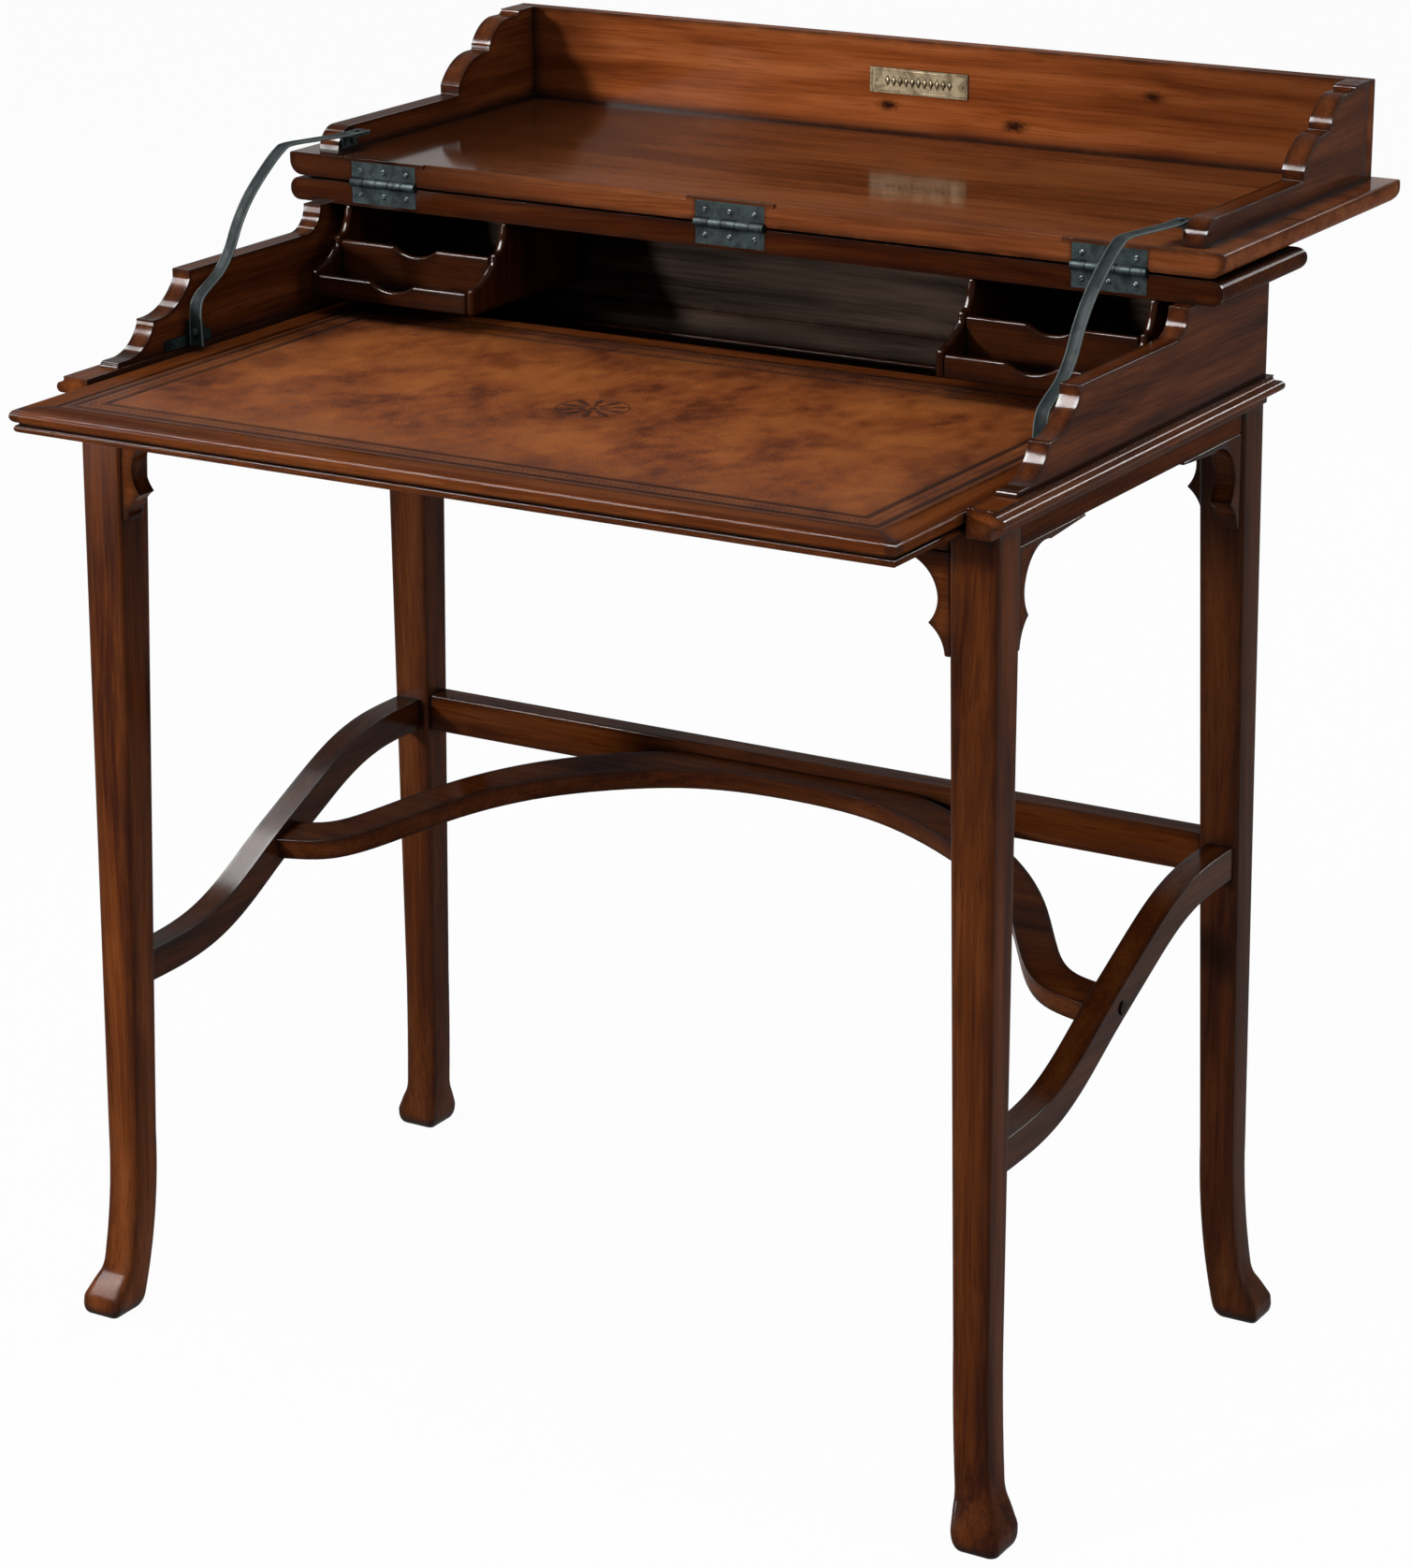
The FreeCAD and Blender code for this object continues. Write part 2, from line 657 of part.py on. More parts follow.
# Fixed top
top_board = box(-top_half, top_half, hinge_y, leg_back + top_reach, fixed_top_bottom, fixed_top_top)
top_board = eased(top_board, top_nose, lambda c, b: b.ZLength < top_nose and c.y > hinge_y + top_nose)
save("fixed_top", top_board.cut(hinge_room(False)).cut(Part.makeCompound(case_screws)))

# Lid
lid_board = box(-top_half, top_half, hinge_y, lid_back, lid_bottom, lid_top)
lid_board = eased(lid_board, lid_ovolo,
                  lambda c, b: b.ZMax < lid_bottom + lid_ease and c.y > hinge_y + lid_ease)
lid_board = eased(lid_board, lid_ease,
                  lambda c, b: b.ZMin > lid_top - lid_ease and c.y > hinge_y + lid_ease)
chamfer_start = hinge_length / 2 + chamfer_stop
chamfer_end = hinge_spread - hinge_length / 2 - chamfer_stop
chamfer_cut = along_x([(hinge_y, lid_top - chamfer), (hinge_y, lid_top), (hinge_y + chamfer, lid_top)],
                      chamfer_start, chamfer_end)
lid_board = lid_board.cut(chamfer_cut).cut(mirrored(chamfer_cut))
save("lid_board", lid_board.cut(hinge_room(True)).cut(Part.makeCompound(lid_screws)))

closed_front = 2 * axis_y - gallery_front
closed_lid_under = 2 * hinge_height - lid_top
closed_gallery_foot = 2 * hinge_height - gallery_top
side_block = box(lid_side_inner, case_half, closed_front, hinge_y - step_setback - side_gap,
                 closed_gallery_foot, closed_lid_under)
grown_face = panel_face(lid_side_inner - overrun).makeOffset2D(side_gap)
grown_panel = grown_face.extrude(V(lid_side_thickness + 2 * overrun, 0, 0))
lid_side = swung(side_block.cut(grown_panel))

gallery = box(-case_half, case_half, gallery_front, gallery_back, lid_top, gallery_top)
gallery = eased(gallery, gallery_ease,
                lambda c, b: b.ZMin > gallery_top - gallery_ease and b.YMin > gallery_back - gallery_ease)

plate_z = lid_top + (gallery_top - lid_top) * plate_share
plate = box(-plate_width / 2, plate_width / 2, gallery_front - plate_thickness, gallery_front,
            plate_z - plate_height / 2, plate_z + plate_height / 2)
plate_pins = []
for side in (-1, 1):
    start = V(side * (plate_width / 2 - plate_pin_inset),
              gallery_front - plate_thickness - plate_pin_proud, plate_z)
    plate_pins.append(pin(start, V(0, 1, 0), plate_pin_length, plate_pin_radius))
pin_holes = Part.makeCompound(plate_pins)
save("gallery_board", gallery.cut(pin_holes))
save("plate", plate.cut(pin_holes))
save("plate_pins", *plate_pins)


# Letter racks
rack_outer = panel_inner - rack_side_gap
rack_inner = rack_outer - rack_width
rack_bottom = writing_height + rack_lift
rack_height = fixed_top_bottom - rack_bottom
rack_rear_lip_y = hinge_y - rack_rear_lip_set
rack_front_lip_y = hinge_y - rack_front_lip_set
rack_rear_lip_top = rack_bottom + rack_height * rack_rear_lip_share
rack_front_lip_top = rack_bottom + rack_height * rack_front_lip_share


def rack_end(x0):
    """Scrolled end: a cove down to the rear lip, a step, and a longer cove down to the front lip."""
    top_y = hinge_y + rack_setback
    rear_z = rack_rear_lip_top + rack_shoulder
    front_z = rack_front_lip_top + rack_shoulder
    rear_y = rack_rear_lip_y + rack_lip_thickness
    step_z = rear_z - rack_lip_thickness
    rear_through = (top_y - (top_y - rear_y) * rack_rear_run_share,
                    rear_z + (fixed_top_bottom - rear_z) * rack_rear_rise_share)
    front_through = (rack_rear_lip_y - (rack_rear_lip_y - rack_front_lip_y) * rack_front_run_share,
                     front_z + (step_z - front_z) * rack_front_rise_share)
    outline = [(back_panel_front, rack_bottom), (back_panel_front, fixed_top_bottom),
               (top_y, fixed_top_bottom),
               (rear_through, (rear_y, rear_z)), (rack_rear_lip_y, rear_z), (rack_rear_lip_y, step_z),
               (front_through, (rack_front_lip_y, front_z)), (rack_front_lip_y, rack_bottom)]
    return along_x(outline, x0, x0 + rack_end_thickness)


def rack_lip(y0, bottom, top):
    """A lip between the ends with a finger cut at the middle of its top edge."""
    x0, x1 = rack_inner + rack_end_thickness, rack_outer - rack_end_thickness
    middle, half = (x0 + x1) / 2, (x1 - x0) * finger_share / 2
    outline = [(x0, bottom), (x0, top), (middle - half, top),
               ((middle, top - finger_depth), (middle + half, top)), (x1, top), (x1, bottom)]
    return along_y(outline, y0, y0 + rack_lip_thickness)


right_rack = {
    "ends": [rack_end(rack_inner), rack_end(rack_outer - rack_end_thickness)],
    "front_lip": [rack_lip(rack_front_lip_y, rack_bottom, rack_front_lip_top)],
    "rear_lip": [rack_lip(rack_rear_lip_y, rack_bottom + rack_floor_thickness, rack_rear_lip_top)],
    "floor": [box(rack_inner + rack_end_thickness, rack_outer - rack_end_thickness,
                  rack_front_lip_y + rack_lip_thickness, back_panel_front,
                  rack_bottom, rack_bottom + rack_floor_thickness)],
}
for piece, solids in right_rack.items():
    save("rack_right_" + piece, *solids)
    save("rack_left_" + piece, *[mirrored(s) for s in solids])

# Straps and their fittings
strap_outer = panel_inner - strap_wall_gap
strap_inner = strap_outer - strap_width
strap_points = [(strap_back - (strap_back - strap_front) * run, strap_top - (strap_top - strap_bottom) * drop)
                for run, drop in zip(strap_run_shares, strap_drop_shares)]
strap_face = band(strap_points, strap_thickness, lambda y, z: V(strap_inner, y, z))
strap = strap_face.extrude(V(strap_width, 0, 0))

clip_back = strap_back
clip_top = strap_top - strap_thickness / 2 - rivet_gap
clip = box(strap_inner, lid_side_inner, clip_back - clip_length, clip_back,
           clip_top - fitting_thickness, clip_top)
clip = clip.fuse(box(lid_side_inner - fitting_thickness, lid_side_inner, clip_back - clip_length, clip_back,
                     clip_top - clip_height, clip_top)).removeSplitter()
strap_middle = (strap_inner + strap_outer) / 2
clip_middle = clip_back - clip_length / 2
rivet_start = V(strap_middle, clip_middle, clip_top - fitting_thickness)
rivet_length = fitting_thickness + strap_thickness + 2 * rivet_gap
lid_rivet = pin(rivet_start, V(0, 0, 1), rivet_length, fitting_screw_radius)
lid_rivet = lid_rivet.fuse(pin(rivet_start + V(0, 0, rivet_length), V(0, 0, 1), fitting_head_height,
                               fitting_head_radius)).removeSplitter()


def side_screw(y, z, wall, plate_face):
    """A screw through a fitting into the wood beside it, its head on the fitting's face."""
    length = wall - plate_face + fitting_screw_length
    shank = pin(V(plate_face, y, z), V(1, 0, 0), length, fitting_screw_radius)
    head_start = V(plate_face - fitting_head_height, y, z)
    head = pin(head_start, V(1, 0, 0), fitting_head_height, fitting_head_radius)
    return shank.fuse(head).removeSplitter()


clip_face = lid_side_inner - fitting_thickness
clip_screw_z = clip_top - clip_height * clip_screw_share
clip_screws = [side_screw(clip_middle + side * clip_length / 4, clip_screw_z, lid_side_inner, clip_face)
               for side in (-1, 1)]
strap = strap.cut(pin(rivet_start, V(0, 0, 1), rivet_length, fitting_screw_radius + rivet_gap))

foot_bottom = writing_height + fitting_lift
foot_plate_y = strap_front + strap_thickness / 2 + rivet_gap
foot_bar_start = foot_plate_y - foot_length / 2
foot = box(panel_inner - fitting_thickness, panel_inner, foot_bar_start, foot_bar_start + foot_length,
           foot_bottom, foot_bottom + foot_bar_height)
foot = foot.fuse(box(strap_inner, panel_inner, foot_plate_y, foot_plate_y + fitting_thickness,
                     foot_bottom, foot_bottom + foot_plate_height)).removeSplitter()
foot_rivet_z = foot_bottom + foot_plate_height * foot_rivet_share
foot_rivet_start = V(strap_middle, foot_plate_y - rivet_length + fitting_thickness, foot_rivet_z)
foot_rivet = pin(foot_rivet_start, V(0, 1, 0), rivet_length, fitting_screw_radius)
foot_rivet = foot_rivet.fuse(pin(foot_rivet_start - V(0, fitting_head_height, 0), V(0, 1, 0),
                                 fitting_head_height, fitting_head_radius)).removeSplitter()
foot_screws = [side_screw(foot_bar_start + foot_length * share, foot_bottom + foot_bar_height / 2,
                          panel_inner, panel_inner - fitting_thickness) for share in foot_screw_shares]
strap = strap.cut(pin(foot_rivet_start, V(0, 1, 0), rivet_length, fitting_screw_radius + rivet_gap))

case_fasteners = [foot_rivet] + foot_screws
lid_fasteners = [lid_rivet] + clip_screws
foot = foot.cut(Part.makeCompound(case_fasteners))
clip = clip.cut(Part.makeCompound(lid_fasteners))
right_panel = right_panel.cut(Part.makeCompound(case_fasteners))
lid_side = lid_side.cut(Part.makeCompound(lid_fasteners))
save("strap_right", strap)
save("strap_left", mirrored(strap))
save("strap_feet", foot, mirrored(foot))
save("strap_clips", clip, mirrored(clip))
save("strap_foot_fasteners", *case_fasteners, *[mirrored(s) for s in case_fasteners])
save("strap_clip_fasteners", *lid_fasteners, *[mirrored(s) for s in lid_fasteners])
save("side_panel_right", right_panel)
save("side_panel_left", mirrored(right_panel))
save("lid_side_right", lid_side)
save("lid_side_left", mirrored(lid_side))


# Slide

def edge_outline(edge, direction):
    """Double bead edge of a slide rail; direction points from the edge into the slide."""
    def at(inward, z):
        return edge + direction * inward, z
    upper = upper_bead / 2
    split = writing_height - upper_bead
    lower = (split - bead_quirk - slide_bottom) / 2
    return [at(slide_rail, slide_bottom), at(slide_rail, writing_height), at(upper, writing_height),
            (at(0, writing_height - upper), at(upper, split)), at(upper, split - bead_quirk),
            at(lower_bead_set + lower, split - bead_quirk),
            (at(lower_bead_set, slide_bottom + lower), at(lower_bead_set + lower, slide_bottom))]


core_x = slide_half - slide_rail
core_front = slide_front + slide_rail
core_back = slide_back - slide_rail
front_space = along_z([(-slide_half, slide_front), (slide_half, slide_front), (core_x, core_front),
                       (-core_x, core_front)], slide_bottom - overrun, writing_height + overrun)
side_space = along_z([(slide_half, slide_front), (slide_half, slide_back), (core_x, core_back),
                      (core_x, core_front)], slide_bottom - overrun, writing_height + overrun)
front_edge = along_x(edge_outline(slide_front, 1), -slide_half, slide_half).common(front_space)
side_edge = along_y(edge_outline(slide_half, -1), slide_front, slide_back).common(side_space)
slide_middle = V(0, (slide_front + slide_back) / 2, 0)
save("slide_rail_front", front_edge)
save("slide_rail_back", front_edge.mirror(slide_middle, V(0, 1, 0)))
save("slide_rail_right", side_edge)
save("slide_rail_left", mirrored(side_edge))

leather_top = writing_height - leather_sink
core_top = leather_top - leather_thickness
core_bottom = core_top - core_thickness
save("slide_panel", box(-core_x, core_x, core_front, core_back, core_bottom, core_top))
save("writing_leather", box(-core_x, core_x, core_front, core_back, core_top, leather_top))
runner_front = leg_front + rail_inset + rail_thickness + notch_gap
runner_bottom = floor_top + slide_run_gap
runner_x = slide_half - runner_inset
right_runner = box(runner_x - runner_width, runner_x, runner_front, core_back, runner_bottom, core_bottom)
save("slide_runners", right_runner, mirrored(right_runner))
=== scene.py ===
import bpy
import math
from mathutils import Matrix, Vector


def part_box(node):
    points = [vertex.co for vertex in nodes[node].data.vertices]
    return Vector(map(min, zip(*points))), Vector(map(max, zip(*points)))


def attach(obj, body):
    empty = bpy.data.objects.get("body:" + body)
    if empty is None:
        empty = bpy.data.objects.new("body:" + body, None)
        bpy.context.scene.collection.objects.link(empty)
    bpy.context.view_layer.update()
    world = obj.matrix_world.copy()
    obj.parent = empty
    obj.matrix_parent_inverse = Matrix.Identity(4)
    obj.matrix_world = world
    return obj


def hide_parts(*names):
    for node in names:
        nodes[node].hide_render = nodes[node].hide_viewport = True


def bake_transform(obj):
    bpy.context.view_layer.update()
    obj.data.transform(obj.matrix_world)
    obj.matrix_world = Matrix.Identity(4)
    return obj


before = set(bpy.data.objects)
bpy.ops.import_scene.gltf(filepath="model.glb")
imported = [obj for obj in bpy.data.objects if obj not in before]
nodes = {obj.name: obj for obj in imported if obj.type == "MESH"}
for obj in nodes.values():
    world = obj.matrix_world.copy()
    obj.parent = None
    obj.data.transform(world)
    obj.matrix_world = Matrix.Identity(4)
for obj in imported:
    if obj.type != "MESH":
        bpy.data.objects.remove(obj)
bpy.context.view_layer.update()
MM = 0.001


# Small helpers

def rgb(red, green, blue):
    return (red, green, blue, 1.0)


def stops(places, tones):
    """Colour stops of a ramp: each tone at its place."""
    return [(place, rgb(*tone)) for place, tone in zip(places, tones)]


class Shade:
    """Places nodes in one tree. An input is a plain value, or the socket that feeds it."""

    def __init__(self, tree):
        self.tree = tree

    def join(self, node, inputs):
        for key, value in inputs.items():
            if isinstance(value, bpy.types.NodeSocket):
                self.tree.links.new(value, node.inputs[key])
            else:
                node.inputs[key].default_value = value
        return node

    def add(self, kind, inputs=None, **settings):
        node = self.tree.nodes.new(kind)
        for key, value in settings.items():
            setattr(node, key, value)
        return self.join(node, inputs or {})

    def math(self, operation, a, b=0.0):
        return self.add("ShaderNodeMath", {0: a, 1: b}, operation=operation).outputs[0]

    def vectors(self, operation, a, b):
        return self.add("ShaderNodeVectorMath", {0: a, 1: b}, operation=operation).outputs[0]

    def sum_of(self, *parts):
        """Adds up values, each with its weight."""
        total = None
        for value, weight in parts:
            part = self.math("MULTIPLY", value, weight)
            total = self.math("ADD", total, part) if total else part
        return total

    def mix(self, factor, a, b):
        return self.add("ShaderNodeMix", {0: factor, 6: a, 7: b}, data_type="RGBA").outputs[2]

    def span(self, value, low, high, to_low=0.0, to_high=1.0):
        """A smooth step from one value to another."""
        sockets = {"Value": value, "From Min": low, "From Max": high, "To Min": to_low, "To Max": to_high}
        return self.add("ShaderNodeMapRange", sockets, interpolation_type="SMOOTHSTEP").outputs[0]

    def place(self):
        return self.add("ShaderNodeTexCoord").outputs["Object"]

    def along(self, vector, axis):
        return self.add("ShaderNodeSeparateXYZ", {0: vector}).outputs[axis]

    def noise(self, vector, scale, detail=3.0, roughness=0.55, distortion=0.0):
        """Noise with its own number of cycles to the metre along each axis."""
        sockets = {"Vector": self.vectors("MULTIPLY", vector, scale), "Scale": 1.0, "Detail": detail,
                   "Roughness": roughness, "Distortion": distortion}
        return self.add("ShaderNodeTexNoise", sockets).outputs[0]

    def even_noise(self, vector, scale, **settings):
        return self.noise(vector, (scale, scale, scale), **settings)

    def ramp(self, factor, colour_stops):
        node = self.add("ShaderNodeValToRGB", {0: factor})
        points = node.color_ramp.elements
        while len(points) < len(colour_stops):
            points.new(1.0)
        for point, (place, colour) in zip(points, colour_stops):
            point.position = place
            point.color = colour
        return node.outputs[0]

    def bump(self, height, strength, distance):
        sockets = {"Height": height, "Strength": strength, "Distance": distance}
        return self.add("ShaderNodeBump", sockets).outputs[0]

    def attribute(self, label):
        return self.add("ShaderNodeAttribute", attribute_name=label).outputs["Fac"]

    def group(self, tree, inputs):
        return self.join(self.add("ShaderNodeGroup", node_tree=tree), inputs).outputs


def shader_group(name, inputs, outputs):
    """An empty node group with named sockets: its tree, its nodes, its inputs and its end."""
    tree = bpy.data.node_groups.new(name, "ShaderNodeTree")
    for label, kind, value in inputs:
        socket = tree.interface.new_socket(label, in_out="INPUT", socket_type="NodeSocket" + kind)
        if value is not None:
            socket.default_value = value
    for label, kind in outputs:
        tree.interface.new_socket(label, in_out="OUTPUT", socket_type="NodeSocket" + kind)
    start = tree.nodes.new("NodeGroupInput").outputs
    end = tree.nodes.new("NodeGroupOutput")
    return tree, Shade(tree), start, end


# Shared effects

def board_figure_group():
    """Grain of a board whose length runs along the vector's X: streaks, growth rings and open pores."""
    tree, s, start, end = shader_group(
        "board figure", [("Vector", "Vector", None), ("Rings", "Float", 0.1)],
        [("Tone", "Float"), ("Pores", "Float"), ("Height", "Float")])
    place = start["Vector"]
    drift = s.noise(place, scale=(1.6, 5.0, 5.0), detail=2.0)
    sideways = s.add("ShaderNodeCombineXYZ", {"Y": drift, "Z": drift}).outputs[0]
    drift_reach = 35.0 * MM
    shift = s.vectors("MULTIPLY", sideways, (drift_reach, drift_reach, drift_reach))
    wandering = s.vectors("ADD", place, shift)
    broad = s.noise(wandering, scale=(3.2, 11.0, 11.0), detail=3.0)
    streaks = s.noise(wandering, scale=(4.0, 120.0, 120.0), detail=5.0, roughness=0.6)
    fine = s.noise(wandering, scale=(11.0, 520.0, 520.0), detail=3.0)
    long_rings = s.vectors("MULTIPLY", wandering, (0.35, 1.0, 1.0))
    rings = s.add("ShaderNodeTexWave", {"Vector": long_rings, "Scale": 11.0, "Distortion": 5.0, "Detail": 2.0,
                                        "Detail Scale": 1.6},
                  wave_type="RINGS", rings_direction="X").outputs["Fac"]
    tone = s.sum_of((broad, 0.40), (streaks, 0.34), (fine, 0.26))
    tone = s.math("ADD", tone, s.math("MULTIPLY", s.math("SUBTRACT", rings, 0.5), start["Rings"]))
    pores = s.span(s.noise(wandering, scale=(26.0, 900.0, 900.0), detail=1.0), low=0.60, high=0.70)
    height = s.math("SUBTRACT", s.math("MULTIPLY", streaks, 0.4), pores)
    s.join(end, {"Tone": tone, "Pores": pores, "Height": height})
    return tree


def hollow_shade_and_grime_group():
    """Painted shade in hollows and corners within the reach, where stain, old wax and tarnish also gather."""
    tree, s, start, end = shader_group(
        "hollow shade and grime", [("Reach", "Float", 12.0 * MM), ("Strength", "Float", 0.8)], [("Mask", "Float")])
    open_air = s.add("ShaderNodeAmbientOcclusion", {"Distance": start["Reach"]}, samples=8).outputs["AO"]
    hollow = s.span(open_air, low=0.95, high=0.35)
    s.join(end, {"Mask": s.math("MULTIPLY", hollow, start["Strength"])})
    return tree


def burnished_edge_group():
    """Where a piece was rubbed dark along its outer edges, unevenly, within the reach."""
    tree, s, start, end = shader_group(
        "burnished edges",
        [("Vector", "Vector", None), ("Reach", "Float", 7.0 * MM), ("Strength", "Float", 0.8)],
        [("Mask", "Float")])
    depth = s.add("ShaderNodeAmbientOcclusion", {"Distance": start["Reach"]}, samples=8, inside=True,
                  only_local=True).outputs["AO"]
    patches = s.span(s.even_noise(start["Vector"], 45.0), low=0.25, high=0.6, to_low=0.45)
    edge = s.math("MULTIPLY", s.span(depth, low=0.97, high=0.55), patches)
    s.join(end, {"Mask": s.math("MULTIPLY", edge, start["Strength"])})
    return tree


def patina_group():
    """Uneven tarnish on brass: blotches, fine scratches and pits."""
    tree, s, start, end = shader_group(
        "patina", [("Vector", "Vector", None)], [("Blotch", "Float"), ("Height", "Float")])
    place = start["Vector"]
    blotch = s.even_noise(place, 90.0, detail=4.0, roughness=0.65, distortion=0.8)
    scratches = s.noise(place, scale=(60.0, 900.0, 900.0), detail=2.0)
    pits = s.even_noise(place, 700.0, detail=2.0)
    s.join(end, {"Blotch": s.span(blotch, low=0.35, high=0.65),
                 "Height": s.sum_of((scratches, 0.5), (pits, 0.5))})
    return tree


board_figure = board_figure_group()
hollow_shade_and_grime = hollow_shade_and_grime_group()
burnished_edges = burnished_edge_group()
patina = patina_group()


# Stains of the wood, each from its deepest to its lightest streaks

warm_tones = ((0.052, 0.011, 0.003), (0.125, 0.031, 0.007), (0.205, 0.060, 0.016))
leg_tones = ((0.028, 0.006, 0.002), (0.082, 0.020, 0.004), (0.135, 0.038, 0.010))
gallery_tones = ((0.110, 0.024, 0.006), (0.215, 0.056, 0.014), (0.300, 0.092, 0.027))
panel_tones = ((0.026, 0.006, 0.002), (0.072, 0.018, 0.005), (0.128, 0.036, 0.010))
top_tones = ((0.019, 0.004, 0.002), (0.046, 0.011, 0.003), (0.080, 0.022, 0.006))
lid_tones = ((0.074, 0.018, 0.005), (0.168, 0.047, 0.014), (0.255, 0.083, 0.027))
rack_tones = ((0.012, 0.003, 0.001), (0.034, 0.008, 0.002), (0.066, 0.018, 0.005))
dark_tones = ((0.006, 0.003, 0.002), (0.016, 0.006, 0.003), (0.032, 0.012, 0.006))
# painted shade inside the case, from its deepest to its lightest
inside_shade_tones = ((0.012, 0.009, 0.007), (0.032, 0.022, 0.017), (0.060, 0.040, 0.030))
grain_stops = (0.365, 0.50, 0.645)
inside_shade_stops = (0.39, 0.50, 0.62)

# How light some pieces are painted, as a share of their stain: painted light and shade on copies of it
leg_light_shares = {"front_right": 0.95, "front_left": 1.18, "back_right": 0.54, "back_left": 0.78}
panel_light_shares = {"right": 1.15, "left": 0.95}
side_stretcher_shade_share = 0.52
back_rail_shade_share = 0.68

# Single colours laid into the finishes
# painted shadow colour for the shaded stretches
painted_shadow_brown = rgb(0.030, 0.008, 0.003)
knot_brown = rgb(0.020, 0.006, 0.003)
rubbed_brown = rgb(0.014, 0.005, 0.003)
# painted shade with old wax, laid into hollows and corners
painted_shade_and_old_wax = rgb(0.006, 0.005, 0.005)
tarnish = rgb(0.006, 0.007, 0.007)
hide_rim = rgb(0.050, 0.013, 0.004)
deep_web = rgb(0.006, 0.010, 0.011)
worn_web = rgb(0.020, 0.029, 0.030)
rubbed_web = rgb(0.130, 0.155, 0.150)

# How strongly a finish shows its marks
pore_strength = 0.55
hide_rim_strength = 0.72
tooling_strength = 0.9
web_edge_strength = 0.8


def painted_light_copy(tones, share):
    """The same stain, laid on lighter or darker: lit and shaded copies that paint light and shade."""
    return tuple(tuple(share * part for part in tone) for tone in tones)


# Materials

def material(name):
    """A new material with a bare Principled shader: the material, its nodes and the shader."""
    made = bpy.data.materials.new(name)
    made.use_nodes = True
    made.node_tree.nodes.clear()
    shade = Shade(made.node_tree)
    shader = shade.add("ShaderNodeBsdfPrincipled")
    shade.add("ShaderNodeOutputMaterial", {"Surface": shader.outputs[0]})
    return made, shade, shader


grain_turns = {"x": (0.0, 0.0, 0.0), "y": (0.0, 0.0, -math.pi / 2), "z": (0.0, math.pi / 2, 0.0)}


def mahogany(name, grain, tones, cut, rings=0.08, coat=0.1, polish=0.1, rubbed=7.0, edge_shine=0.2,
             shaded=(), lined=None, knots=(), polished=None):
    """Polished mahogany.

    The grain runs along one axis, and cut says where in the log the board was. Edges are rubbed for some
    millimetres, and hollows and corners get painted shade with old wax. Each shaded stretch is painted
    shadow, darkening from one place to another along X. A board shaded inside from some depth is painted
    black-brown in front of it, as painted shade inside the case. A board polished at some height has a deeper
    coat on that face.
    """
    made, s, shader = material(name)
    place = s.place()
    turned = s.add("ShaderNodeMapping", {"Vector": place, "Rotation": grain_turns[grain], "Location": cut})
    figure = s.group(board_figure, {"Vector": turned.outputs[0], "Rings": rings})
    tone = figure["Tone"]
    colour = s.ramp(tone, stops(grain_stops, tones))
    colour = s.mix(s.math("MULTIPLY", figure["Pores"], pore_strength), colour, rgb(*tones[0]))
    # each shaded stretch is painted shadow, laid from start to end along X
    for start, end, strength in shaded:
        colour = s.mix(s.span(s.along(place, "X"), start, end, to_high=strength), colour, painted_shadow_brown)
    # painted shade inside the case, laid in front of the given depth
    if lined:
        inside_shade = s.ramp(tone, stops(inside_shade_stops, inside_shade_tones))
        colour = s.mix(s.span(s.along(place, "Y"), lined + 1.0 * MM, lined), colour, inside_shade)
    for centre, size in knots:
        colour = s.mix(knot_mask(s, place, centre, size), colour, knot_brown)
    edge = s.group(burnished_edges, {"Vector": place, "Reach": rubbed * MM, "Strength": 0.78})["Mask"]
    colour = s.mix(edge, colour, rubbed_brown)
    # painted shade in hollows and corners, with old wax gathered there
    corner = s.group(hollow_shade_and_grime, {"Reach": 16.0 * MM, "Strength": 0.9})["Mask"]
    colour = s.mix(corner, colour, painted_shade_and_old_wax)
    shine = s.span(edge, low=0.35, high=0.62, to_low=coat, to_high=coat + edge_shine)
    if polished:
        face, depth = polished
        top = s.span(s.along(place, "Z"), face - 0.8 * MM, face - 0.1 * MM, to_high=depth)
        shine = s.math("ADD", shine, top)
    s.join(shader, {"Base Color": colour,
                    "Roughness": s.span(tone, low=0.3, high=0.7, to_low=0.62, to_high=0.5),
                    "Specular IOR Level": 0.0,
                    "Coat Weight": shine,
                    "Coat Roughness": polish,
                    "Coat IOR": 1.2,
                    "Normal": s.bump(figure["Height"], strength=0.1, distance=0.4 * MM)})
    return made


def knot_mask(s, place, centre, size):
    """A small dark knot, drawn out along X, round a place on the board's face."""
    drawn_out = (0.45, 0.0, 1.0)
    ragged_reach = size * 0.9
    rim_reach = size * 1.5
    heart_reach = size * 0.55
    offset = s.vectors("MULTIPLY", s.vectors("SUBTRACT", place, centre), drawn_out)
    reach = s.add("ShaderNodeVectorMath", {0: offset}, operation="LENGTH").outputs["Value"]
    ragged = s.noise(place, scale=(240.0, 240.0, 420.0), detail=3.0)
    distance = s.math("ADD", reach, s.math("MULTIPLY", ragged, ragged_reach))
    return s.span(distance, low=rim_reach, high=heart_reach)


